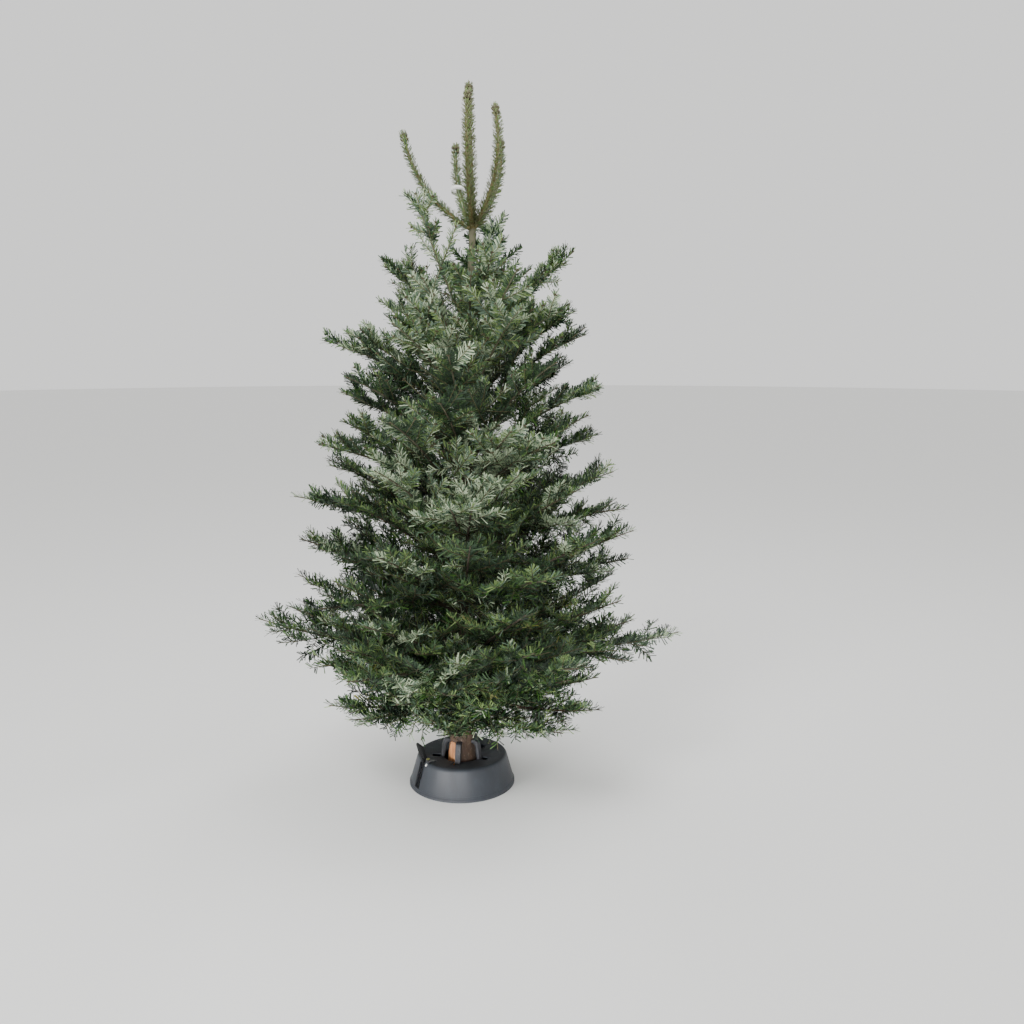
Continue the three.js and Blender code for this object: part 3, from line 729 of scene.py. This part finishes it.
# Low down a side twig's needles lie flat, and above a height they stand more and more like a brush.
BRUSHY_FROM = 1.2
BRUSHY_RISE = 0.8
LEAST_BRUSHY = 0.15
ON_TOP = 0.45
SHOOT_DENSITY = 2700
SHOOT_NEEDLE_SEAT = 0.0052
SHADED_SHOOTS = (1, 2, 3)
TIER_STEP = 0.011
SHOOT_END = 0.05
# A thin brush of needles is left on the trunk's own top, between these heights.
TRUNK_BRUSH = (1.56, 1.69, 1.815)
TRUNK_BRUSH_DENSITY = 420
TRUNK_NEEDLE_SEAT = 0.0088
# The label is a band round one of the top shoots, at a share of its length.
LABEL_SHOOT = 2
LABEL_SHARE = 0.53


def blades(roots, directions, faces, lengths, widths):
    """The four corners of every needle. It is narrow at its root and blunt at its tip, and the two diagonals
    lie a needle's thickness apart, so that its upper and its lower faces close it."""
    across = np.cross(faces, directions) * (widths / 2)[:, None]
    tips = roots + directions * lengths[:, None]
    rise = faces * (NEEDLE_THICK / 2)
    return np.stack(
        [
            roots + NEEDLE_ROOT * across + rise,
            roots - NEEDLE_ROOT * across - rise,
            tips - NEEDLE_TIP * across + rise,
            tips + NEEDLE_TIP * across - rise,
        ],
        1,
    )


def twisted(faces, directions, angles):
    """Each face turned about its needle, after it is made square to it."""
    square = unit(faces - np.sum(faces * directions, 1)[:, None] * directions)
    return square * np.cos(angles)[:, None] + np.cross(directions, square) * np.sin(angles)[:, None]


def combed_needles(twig, start, per_metre, seat, rng):
    """The needles of a side twig, spread to both sides and leaning forward on top."""
    count = max(4, round(twig.length * (1 - start) * per_metre))
    t = start + (1 - start) * (np.arange(count) + rng.random(count)) / count
    points, along, side, up = twig.frames(t)
    brushy = min(max((points[0, 2] - BRUSHY_FROM) / BRUSHY_RISE, LEAST_BRUSHY), 1)
    hand = np.where(rng.random(count) < 0.5, -1.0, 1.0)
    on_top = rng.random(count) < ON_TOP
    level_rise = rng.normal(8 - 8 * brushy, 17 + 21 * brushy, count)
    rise = np.radians(np.where(on_top, rng.uniform(30, 90, count), level_rise))
    season = (t * twig.years) % 1
    ending = np.exp(-(1 - t) * twig.length / 0.008)
    lean = np.radians(np.where(on_top, 46, 60) - 14 * brushy + rng.normal(0, 7, count)) * (1 - 0.5 * ending)
    round_twig = (hand * np.cos(rise))[:, None] * side + np.sin(rise)[:, None] * up
    directions = unit(np.cos(lean)[:, None] * along + np.sin(lean)[:, None] * round_twig)
    faces = twisted(up + 0.25 * along, directions, rng.normal(0, 0.42, count))
    shape = 0.76 + 0.24 * np.sin(math.pi * season) ** 0.6
    shorter = np.where(on_top, 0.85, 1) * (1 - 0.12 * brushy)
    lengths = NEEDLE_LENGTH * shape * shorter * (1 + rng.normal(0, 0.1, count))
    widths = NEEDLE_WIDTH * (0.85 + 0.15 * shape)
    return blades(points + round_twig * seat, directions, faces, lengths, widths)


def brush_needles(twig, start, per_metre, seat, rng, band=None):
    """The needles of an upright shoot, all round it and pointing up. The label's band presses them flat."""
    count = round(twig.length * (1 - start) * per_metre)
    tiers = twig.length / TIER_STEP
    t = start + (1 - start) * (np.arange(count) + rng.random(count)) / count
    t = np.clip((np.floor(t * tiers) + 0.5 + rng.normal(0, 0.2, count)) / tiers, 0, 1)
    points, along, side, up = twig.frames(t)
    turn = rng.uniform(0, 2 * math.pi, count)
    round_twig = np.cos(turn)[:, None] * side + np.sin(turn)[:, None] * up
    ending = np.clip((1 - t) * twig.length / SHOOT_END, 0, 1)
    lean = np.radians(24 + 26 * ending + rng.normal(0, 9, count))
    if band is not None:
        lean *= np.clip(np.abs((t - band) * twig.length + 0.008) / 0.022, 0.3, 1)
    directions = unit(np.cos(lean)[:, None] * along + np.sin(lean)[:, None] * round_twig)
    faces = twisted(along, directions, rng.normal(0, 0.3, count))
    lengths = NEEDLE_LENGTH * (0.56 + 0.2 * (1 - t)) * (1 + rng.normal(0, 0.09, count))
    return blades(points + round_twig * seat, directions, faces, lengths, np.full(count, NEEDLE_WIDTH * 0.85))


def crown_depth(point):
    """0 on the trunk's line and 1 at the crown's outline at that height."""
    return math.hypot(point[0], point[1]) / np.interp(point[2], *CROWN)


def deal(made, tint):
    """Deals a spray's needles to its own tint and the tints that go with it."""
    if tint in MIXES:
        mixed = [names.index(name) for name in MIXES[tint]]
        picked = rng.choice(mixed, len(made), p=list(MIXES[tint].values()))
    else:
        stray = rng.choice([-1, 0, 1], len(made), p=STRAYS)
        picked = np.clip(names.index(tint) + stray, 0, names.index("painted_sheen"))
    for k in np.unique(picked):
        needles[names[k]].append(made[picked == k])


needles = {tint: [] for tint in TINTS}
names = list(TINTS)
rng = np.random.default_rng(12)
for twig in [*fans, *twigs]:
    place = (twig.root + twig.tip) / 2 if twig.order else twig.tip
    depth = crown_depth(place)
    shares = INNER_SHARES
    per_metre = INNER_DENSITY
    if depth > INNER_DEPTH:
        band = next(band for band in BANDS if place[2] < band[0])
        in_front = place[1] < FRONT and FRONT_LEFT < place[0] < FRONT_RIGHT
        shares = band[2] if in_front else band[1]
        per_metre = np.interp(place[2], *DENSITY_BY_HEIGHT) * np.interp(depth, *DENSITY_BY_DEPTH)
    tint = names[rng.choice(len(names), p=shares)]
    if depth > INNER_DEPTH:
        if twig.order > 1 and twig.stem.tint and rng.random() < KEPT_TINTS:
            tint = twig.stem.tint
        twig.tint = tint
    if twig.order > 1 and depth > YELLOW_DEPTH and place[2] < BANDS[0][0] and rng.random() < YELLOW_SHARE:
        tint = "yellow"
    seat = (twig.thick + TWIG_TIP_RADIUS) / 2.4
    deal(combed_needles(twig, max(twig.bare, FIRST_NEEDLE), per_metre, seat, rng), tint)
for i, shoot in enumerate(shoots):
    band = LABEL_SHARE if i == LABEL_SHOOT else None
    made = brush_needles(shoot, FIRST_NEEDLE, SHOOT_DENSITY, SHOOT_NEEDLE_SEAT, rng, band)
    if i in SHADED_SHOOTS:
        deal(made[::2], "blue")
        made = made[1::2]
    deal(made, "olive")
trunk_top = Twig(*(trunk_centre(height) for height in TRUNK_BRUSH), BACK, 1, 2)
deal(brush_needles(trunk_top, 0, TRUNK_BRUSH_DENSITY, TRUNK_NEEDLE_SEAT, rng), "green")

for tint, (above, below) in TINTS.items():
    upper = material(f"needle_{tint}", lambda f: {"Base Color": colour(above), "Roughness": 0.42})
    lower = material(f"needle_{tint}_under", lambda f: {"Base Color": colour(below), "Roughness": 0.55})
    corners = np.concatenate(needles[tint])
    pieces = math.ceil(len(corners) / PIECE_LIMIT)
    for i, part in enumerate(np.array_split(corners, pieces)):
        first = np.arange(len(part))[:, None] * 4
        faces = np.stack([first + [0, 1, 2], first + [0, 2, 3], first + [0, 3, 1], first + [1, 3, 2]], 1)
        slots = np.tile([0, 0, 1, 1], len(part))
        piece = mesh_piece(f"needles_{tint}_{i + 1}", part, faces, [upper, lower], slots, smooth=False)
        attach(piece, "tree")
        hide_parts(*MASSES)


# The buds: small eggs in brown resinous scales, grown at the tips. High in the crown a twig ends in three,
# low down in one, and the leader and the top shoots end in a thick knot of them.
UPPER_FROM = 1.1
# Each row is a ring of buds: how many, the first one's turn in steps, how far ahead of the tip and how far
# out they sit, how much they tilt outwards, and their length and width.
UPPER_BUDS = [(1, 0, 0.002, 0, 0, 0.009, 0.006), (2, 0, 0, 0.004, 0.8, 0.008, 0.0055)]
LOWER_BUDS = [(1, 0, 0.001, 0, 0, 0.006, 0.0036)]
SHOOT_BUDS = [
    (1, 0, -0.002, 0, 0, 0.022, 0.013),
    (6, 0, -0.007, 0.0085, 0.6, 0.02, 0.012),
    (5, 0.5, -0.02, 0.0095, 0.9, 0.016, 0.0105),
]
# A bud's two rings of corners: where they lie between its middle and its ends, and their share of its width.
BUD = [(-0.3, 0.85), (0.4, 0.8)]
BUD_SIDES = 4


def bud_inputs(f):
    scales = f.noise(0.0018, (1, 1, 1), 2.0)
    return {
        "Base Color": scales.ramp(0.4, 0.6).mix(colour(0x3E3A28), colour(0x625B40)),
        "Roughness": 0.5 + 0.2 * scales,
    }


def bud(place, along, length, width):
    """The corners of an egg along a direction, from its root to its tip."""
    across = unit(np.cross(along, [0.31, 0.57, 0.76]))
    third = np.cross(along, across)
    turn = np.arange(BUD_SIDES) * 2 * math.pi / BUD_SIDES
    ring = np.outer(np.cos(turn), across) + np.outer(np.sin(turn), third)
    rows = [place + along * length * at / 2 + ring * width * wide / 2 for at, wide in BUD]
    return np.concatenate([[place - along * length / 2], *rows, [place + along * length / 2]])


budded = [(twig, UPPER_BUDS if twig.tip[2] > UPPER_FROM else LOWER_BUDS) for twig in [*fans, *twigs]]
budded = [(twig, rings) for twig, rings in budded if twig.order < 2]
bud_points = []
for twig, rings in [*budded, *((shoot, SHOOT_BUDS) for shoot in shoots)]:
    (tip,), (along,), (side,), (up,) = twig.frames([1])
    for count, first, ahead, out, tilt, length, width in rings:
        for k in range(count):
            turn = 2 * math.pi * (k + first) / count
            away = math.cos(turn) * side + math.sin(turn) * up
            bud_points.append(bud(tip + out * away + ahead * along, unit(along + tilt * away), length, width))
bud_faces = []
for k in range(BUD_SIDES):
    low, next_low = 1 + k, 1 + (k + 1) % BUD_SIDES
    high, next_high = low + BUD_SIDES, next_low + BUD_SIDES
    bud_faces += [[0, next_low, low], [low, next_low, next_high], [low, next_high, high]]
    bud_faces.append([2 * BUD_SIDES + 1, high, next_high])
bud_triangles = np.arange(len(bud_points))[:, None, None] * (2 * BUD_SIDES + 2) + np.array(bud_faces)
buds = mesh_piece("buds", np.concatenate(bud_points), bud_triangles, [material("bud", bud_inputs)])
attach(buds, "tree")


# The label: a plain band of creased white film, closed in a flat loop round one top shoot. It rests on that
# shoot's needles and presses them in.
LABEL_RADIUS = 0.025
LABEL_DEPTH = 0.0184
LABEL_HEIGHT = 0.016
LABEL_THICK = 0.0009
LABEL_BULGE = 1.4
LABEL_STEPS = 72
NEEDLE_REACH = 0.0176
LABEL_TURN = 0.45


def film_inputs(f):
    creases = f.noise(0.012, (1, 1, 2.5), 2.0)
    return {
        "Base Color": creases.ramp(0.4, 0.7).mix(colour(0xF4F4F1), colour(0xE4E5E2)),
        "Roughness": 0.35 + 0.15 * creases,
        "Normal": f.bump(creases, 0.0015),
    }


labelled = shoots[LABEL_SHOOT]
(centre,), (along,), _, _ = labelled.frames([LABEL_SHARE])
level = unit(np.cross(labelled.tip - labelled.root, UP))
arm = math.cos(LABEL_TURN) * level + math.sin(LABEL_TURN) * np.cross(along, level)
centre = centre + (NEEDLE_REACH - LABEL_RADIUS) * arm
edge = LABEL_HEIGHT / 2
section = [(0, -edge), (LABEL_THICK, -edge), (LABEL_THICK * LABEL_BULGE, 0), (LABEL_THICK, edge), (0, edge)]
turn = np.linspace(0, 2 * math.pi, LABEL_STEPS, endpoint=False)[:, None]
rows = []
for out, high in section:
    wide = (LABEL_RADIUS + out) * np.cos(turn) * arm
    deep = (LABEL_DEPTH + out) * np.sin(turn) * np.cross(along, arm)
    rows.append(centre + wide + deep + high * along)
a = np.arange(len(section) * LABEL_STEPS).reshape(len(section), LABEL_STEPS)
b = np.roll(a, -1, 1)
c = np.roll(a, -1, 0)
d = np.roll(b, -1, 0)
quads = np.stack([a, b, d, a, d, c], -1)
band = mesh_piece("label_band", np.concatenate(rows), quads, [material("label_film", film_inputs)])
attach(band, "tree")
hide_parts("label")


# The stand's shell: one moulding in dark grey plastic, turned from its section, with the pedal's slot and
# the claws' notches cut through it. Open ears for their pins and the lock's boss stand in it. From here on
# lengths are in millimetres until a mesh is drawn.
MM = 0.001
SHARP_EDGE = 35
SECTION = [
    (0, 0), (108, 0), (108, 85.6), (137.5, 88.6), (142.4, 82), (163.4, 10), (166.4, 0), (169.4, 0),
    (170, 0.6), (170, 6.6), (169.4, 7.8), (167.2, 9.2), (166.4, 10.4), (165.7, 13.2), (164.9, 13.7),
    (164.7, 14.6), (165.2, 15.2), (146.4, 81), (145.4, 84.2), (143.6, 87.4), (141, 90), (137.8, 91.7),
    (134.4, 92), (131, 91.4), (64.5, 84.6), (62.6, 83.6), (62, 82), (62, 80.6), (104.8, 85.2), (104.8, 8),
    (0, 8),
]
CLAW_BEARINGS = [260 + 72 * i for i in range(5)]
CLAW_PIVOT = (80, 30)
CLAW_EAR = 5
CLAW_EAR_MIDDLE = 12.1
NOTCH_WIDTH = 24
PEDAL_BEARING = 212
PEDAL_PIVOT = (122, 38)
PEDAL_EAR = 4.4
PEDAL_EAR_MIDDLE = 6.8
SLOT_WIDTH = 14
SLOT_FOOT = 15
LOCK_BEARING = 218.5
LOCK_RADIUS = 134
BOSS = [(0, 86), (8.4, 86), (7.5, 92.6), (7.5, 93.4), (7, 94), (0, 94)]


def plastic_inputs(f):
    grain = f.noise(0.0012, (1, 1, 1), 2.0)
    scuffs = f.noise(0.03, (1, 1, 0.3), 5.0, 0.7)
    dust = f.noise(0.018, (1, 1, 1), 4.0, 0.65)
    dusty = dust.ramp(0.5, 0.75) * (0.25 + 0.75 * f.facing_up().ramp(0.2, 0.9))
    base = scuffs.ramp(0.45, 0.7).mix(colour(0x23272E), colour(0x2B3038))
    return {
        "Base Color": (0.12 * dusty).mix(base, colour(0x5A5955)),
        "Roughness": 0.42 + 0.16 * scuffs + 0.28 * f.facing_up().ramp(0.6, 0.95),
        "Normal": f.bump(grain, 0.0002),
    }


def to_bearing(bearing):
    return Matrix.Rotation(math.radians(bearing), 4, "Z")


def only(piece):
    bpy.ops.object.select_all(action="DESELECT")
    piece.select_set(True)
    bpy.context.view_layer.objects.active = piece


def drawn(name, points, edges, faces):
    """A new object with an outline on it, open in edit mode with everything selected."""
    mesh = bpy.data.meshes.new(name)
    mesh.from_pydata(points, edges, faces)
    made = bpy.data.objects.new(name, mesh)
    link(made)
    only(made)
    bpy.ops.object.mode_set(mode="EDIT")
    bpy.ops.mesh.select_all(action="SELECT")
    return made


def closed_up(made, place):
    """Ends the edit: merges doubles, turns the faces outwards and moves the mesh to its place."""
    bpy.ops.mesh.select_all(action="SELECT")
    bpy.ops.mesh.remove_doubles(threshold=1e-6)
    bpy.ops.mesh.normals_make_consistent(inside=False)
    bpy.ops.object.mode_set(mode="OBJECT")
    made.data.transform(place)
    return made


def lathe(name, section, steps, place=Matrix()):
    """A section of radii and heights, spun about the upright axis."""
    points = [(radius * MM, 0, height * MM) for radius, height in section]
    made = drawn(name, points, [(k, k + 1) for k in range(len(points) - 1)], [])
    bpy.ops.mesh.spin(steps=steps, angle=2 * math.pi, center=(0, 0, 0), axis=(0, 0, 1))
    return closed_up(made, place)


def plate(name, outline, width, place=Matrix(), middle=0):
    """An outline of outward and upward lengths, given a width across a middle."""
    points = [(x * MM, (middle - width / 2) * MM, z * MM) for x, z in outline]
    made = drawn(name, points, [], [range(len(points))])
    bpy.ops.mesh.extrude_region_move(TRANSFORM_OT_translate={"value": (0, width * MM, 0)})
    return closed_up(made, place)


def joined(name, pieces):
    only(pieces[0])
    for piece in pieces:
        piece.select_set(True)
    bpy.ops.object.join()
    pieces[0].name = name
    return pieces[0]


def copies(piece, places):
    """A copy of a piece at each place, every one with its own mesh. The piece itself is taken away."""
    made = []
    for place in places:
        copy = bpy.data.objects.new(piece.name, piece.data.copy())
        copy.data.transform(place)
        link(copy)
        made.append(copy)
    bpy.data.objects.remove(piece)
    return made


def apply_modifiers(piece):
    only(piece)
    for name in [modifier.name for modifier in piece.modifiers]:
        bpy.ops.object.modifier_apply(modifier=name)


def cut_away(piece, cutters):
    cutter = joined("cutter", cutters)
    cut = piece.modifiers.new("cut", "BOOLEAN")
    cut.object = cutter
    cut.solver = "EXACT"
    apply_modifiers(piece)
    bpy.data.objects.remove(cutter)


def rounded(piece, width, segments=2, sharper_than=30):
    """Rounds a piece's edges, and shades it smooth between sharp corners."""
    bevel = piece.modifiers.new("bevel", "BEVEL")
    bevel.width = width * MM
    bevel.segments = segments
    bevel.limit_method = "ANGLE"
    bevel.angle_limit = math.radians(sharper_than)
    apply_modifiers(piece)
    bpy.ops.object.shade_smooth_by_angle(angle=math.radians(SHARP_EDGE))
    return piece


def finished(piece, made, body, slot, *nodes):
    """Gives a finished piece its material and its body, and hides the CAD nodes that it stands for. The slot
    is not used.
    """
    piece.data.materials.clear()
    piece.data.materials.append(made)
    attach(piece, body)
    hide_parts(*nodes)
    return piece


def box_outline(near, far, foot, top):
    return [(near, foot), (far, foot), (far, top), (near, top)]


def slot_cutter(foot):
    return plate("slot", box_outline(126, 176, foot, 96), SLOT_WIDTH, to_bearing(PEDAL_BEARING))


def ears(near, far, foot, top, pivot, room, width, middle, place=Matrix()):
    """A pair of upright ears, each with a round-bottomed seat for a pin, open at the top."""
    x, z = pivot
    arc = [math.radians(180 + 20 * k) for k in range(10)]
    seat = [(x + room * math.cos(a), z + room * math.sin(a)) for a in arc]
    outline = [(near, foot), (near, top), (x - room, top), *seat, (x + room, top), (far, top), (far, foot)]
    return [plate("ear", outline, width, place, middle * side) for side in (-1, 1)]


plastic = material("stand_plastic", plastic_inputs)
claw_places = [to_bearing(bearing) for bearing in CLAW_BEARINGS]
shell = lathe("stand_shell", SECTION, 160)
notches = copies(plate("notch", box_outline(50, 96, 76, 96), NOTCH_WIDTH), claw_places)
cut_away(shell, [slot_cutter(SLOT_FOOT), *notches])
rounded(shell, 0.5, 2, 50)
claw_ears = joined("claw_ears", ears(73, 87, 7.5, 34, CLAW_PIVOT, 3.5, CLAW_EAR, CLAW_EAR_MIDDLE))
pedal_side = to_bearing(PEDAL_BEARING)
pedal_ears = ears(106, 131, 26, 47, PEDAL_PIVOT, 4.3, PEDAL_EAR, PEDAL_EAR_MIDDLE, pedal_side)
boss_place = to_bearing(LOCK_BEARING) @ Matrix.Translation((LOCK_RADIUS * MM, 0, 0))
boss = lathe("boss", BOSS, 32, boss_place)
hinge_ears = rounded(joined("hinge_ears", [*copies(claw_ears, claw_places), *pedal_ears, boss]), 0.4)
finished(shell, plastic, "tree", "stand_plastic", "stand_body")
finished(hinge_ears, plastic, "tree", "stand_plastic", "stand_body")


# The claws: bent flat bars of painted steel, worn to the metal where they rub, with a pressed rib up the
# back. Each turns on its own pin in the shell's ears and closes on the trunk.
CLAW_WIDTH = 18
CLAW_OUTLINE = [
    (75, 24), (80, 22.4), (86, 24), (87.6, 30), (86, 36), (69.4, 82), (68, 88), (65.4, 114), (64, 122),
    (61.4, 131), (58.6, 137.2), (54, 140.4), (50, 141), (41, 141), (38.6, 140.2), (38, 138.6), (38, 131),
    (46, 129.4), (50, 127.4), (53, 122), (55, 114), (57.6, 88), (59, 81.4), (72.4, 36), (73.6, 28),
]
RIB_WIDTH = 6
RIB_OUTLINE = [(67.2, 84), (68.6, 84.4), (66, 114), (64.6, 120.6), (63.4, 120.2), (64.6, 112)]
CLAW_PIN_RADIUS = 3.2
CLAW_PIN_LENGTH = 28.4


def claw_inputs(f):
    wear = f.noise(0.01, (1, 1, 0.4), 5.0, 0.7)
    worn = wear.ramp(0.58, 0.7)
    return {
        "Base Color": worn.mix(colour(0x35363A), colour(0x6A6864)),
        "Metallic": 0.3 + 0.5 * worn,
        "Roughness": 0.5 + 0.15 * wear,
        "Normal": f.bump(wear, 0.0004),
    }


def pin(pivot, radius, length, place=Matrix()):
    """A round pin through a pivot, with turned ends."""
    half = length / 2
    end = [(0, -half), (radius - 0.5, -half), (radius, 0.6 - half)]
    section = end + [(at, -high) for at, high in reversed(end)]
    along_y = Matrix.Translation((pivot[0] * MM, 0, pivot[1] * MM)) @ Matrix.Rotation(math.pi / 2, 4, "X")
    return lathe("pin", section, 24, place @ along_y)


claw_paint = material("claw_paint", claw_inputs)
bar = rounded(plate("bar", CLAW_OUTLINE, CLAW_WIDTH), 1.1, 3)
rib = rounded(plate("rib", RIB_OUTLINE, RIB_WIDTH), 0.4)
claw_bar = joined("claw_bar", [bar, rib, pin(CLAW_PIVOT, CLAW_PIN_RADIUS, CLAW_PIN_LENGTH)])
for i, claw in enumerate(copies(claw_bar, claw_places)):
    claw.name = f"claw_bar_{i + 1}"
    finished(claw, claw_paint, f"claw_{i + 1}", "claw_metal", f"claw_{i + 1}")


# The pedal's guide: a black plastic channel clipped into the shell's slot from outside. It lines the slot and
# stands a little proud of the shell on both sides.
GUIDE_OUTLINE = [(164.6, 13), (167.6, 14), (149.4, 80), (147, 88.5), (143.5, 88), (145.6, 80)]
GUIDE_WIDTH = 24
GUIDE_FOOT = 17


def black_inputs(f):
    grain = f.noise(0.0015, (1, 1, 1), 2.0)
    dust = f.noise(0.012, (1, 1, 1), 4.0, 0.7)
    return {
        "Base Color": (0.15 * dust.ramp(0.52, 0.75)).mix(colour(0x08090B), colour(0x4A4A48)),
        "Roughness": 0.4 + 0.25 * dust,
        "Specular IOR Level": 0.22,
        "Normal": f.bump(grain, 0.0002),
    }


black = material("pedal_plastic", black_inputs)
guide = plate("slot_guide", GUIDE_OUTLINE, GUIDE_WIDTH, pedal_side)
cut_away(guide, [slot_cutter(GUIDE_FOOT)])
rounded(guide, 0.8, 2)
finished(guide, black, "tree", "stand_plastic")


# The foot pedal: a lever in the same black plastic, which stands up in the slot and turns on a pin inside the
# shell. A rack of teeth runs down its face, and it ends in a wide pad with moulded ridges.
PEDAL_SLOPE = 73
ARM_OUTLINE = [(-6, -4), (-4, -6), (74, -6), (78, -4.5), (78, 4.5), (74, 6), (-4, 6), (-6, 4)]
ARM_WIDTH = 8
TOOTH_OUTLINE = [(12, -6), (13.4, -7.4), (15, -6)]
TOOTH_WIDTH = 6
TEETH = 9
PAD_OUTLINE = [(73, -4.5), (112, -4.5), (114, -2.5), (114, 2.5), (112, 4.5), (73, 4.5)]
PAD_WIDTH = 38
RIDGE_OUTLINE = [(77, -4.4), (77.6, -5.6), (79.4, -5.6), (80, -4.4)]
RIDGE_WIDTH = 32
RIDGES = 6
STEP = 6
PEDAL_PIN_RADIUS = 4
PEDAL_PIN_LENGTH = 19

hinge = Matrix.Translation((PEDAL_PIVOT[0] * MM, 0, PEDAL_PIVOT[1] * MM))
pedal_place = pedal_side @ hinge @ Matrix.Rotation(math.radians(-PEDAL_SLOPE), 4, "Y")
steps = [pedal_place @ Matrix.Translation((STEP * k * MM, 0, 0)) for k in range(TEETH)]
pedal = joined(
    "pedal_lever",
    [
        rounded(plate("arm", ARM_OUTLINE, ARM_WIDTH, pedal_place), 0.6),
        *copies(plate("tooth", TOOTH_OUTLINE, TOOTH_WIDTH), steps),
        rounded(plate("pad", PAD_OUTLINE, PAD_WIDTH, pedal_place), 1.2, 3),
        *copies(rounded(plate("ridge", RIDGE_OUTLINE, RIDGE_WIDTH), 0.3), steps[:RIDGES]),
        pin((0, 0), PEDAL_PIN_RADIUS, PEDAL_PIN_LENGTH, pedal_place),
    ],
)
finished(pedal, black, "pedal", "pedal_plastic", "pedal")


# The lock: a glossy black hub with a small tapered lever that reaches in over the funnel. It turns on the
# boss on the shell's rim, and a yellow-green button is pressed into its top.
HUB = [(0, 94.3), (7.2, 94.3), (7.5, 94.7), (7.1, 101.4), (6.4, 102.2), (0, 102.3)]
LEVER_OUTLINE = [(0, -5.2), (22, -3), (26, -2.2), (27, -1), (27, 1), (26, 2.2), (22, 3), (0, 5.2)]
LEVER_THICK = 4
LEVER_HEIGHT = 96.3
BUTTON = [(0, 101.8), (5.6, 101.8), (5.6, 102.9), (5.1, 103.5), (3.4, 103.7), (2.9, 103.2), (0, 103.1)]
HUB_STEPS = 40


def gloss_inputs(f):
    smudges = f.noise(0.004, (1, 1, 1), 3.0)
    return {
        "Base Color": colour(0x101113),
        "Roughness": 0.22 + 0.25 * smudges,
        "Normal": f.bump(smudges, 0.0001),
    }


def button_inputs(f):
    smudges = f.noise(0.003, (1, 1, 1), 3.0)
    return {
        "Base Color": smudges.ramp(0.45, 0.7).mix(colour(0xA8A95B), colour(0x77783C)),
        "Roughness": 0.35 + 0.2 * smudges,
    }


lever_place = Matrix.Translation(boss_place.translation + Vector((0, 0, LEVER_HEIGHT * MM)))
lever_place = lever_place @ Matrix.Rotation(math.pi / 2, 4, "X")
lever = rounded(plate("lever", LEVER_OUTLINE, LEVER_THICK, lever_place), 0.7, 3)
lock = joined("lock_hub", [lathe("hub", HUB, HUB_STEPS, boss_place), lever])
finished(lock, material("lock_plastic", gloss_inputs), "lock_lever", "lock_plastic", "lock_lever")
button = rounded(lathe("lock_button", BUTTON, HUB_STEPS, boss_place), 0.15)
finished(button, material("button_plastic", button_inputs), "lock_lever", "lock_plastic")


# The white tab: a small stiff sticker of white film, like the label's, on the shell's sloping shoulder just
# below the lock.
TAB_BEARING = LOCK_BEARING + 2
TAB_RADIUS = 144.5
TAB_HEIGHT = 87.6
TAB_SLOPE = 52
TAB_WIDTH = 6

tab_place = to_bearing(TAB_BEARING) @ Matrix.Translation((TAB_RADIUS * MM, 0, TAB_HEIGHT * MM))
tab_place = tab_place @ Matrix.Rotation(math.radians(TAB_SLOPE), 4, "Y")
tab = rounded(plate("white_tab", box_outline(-4, 4, -0.6, 0.6), TAB_WIDTH, tab_place), 0.4)
finished(tab, material("tab_film", film_inputs), "tree", "label_film")
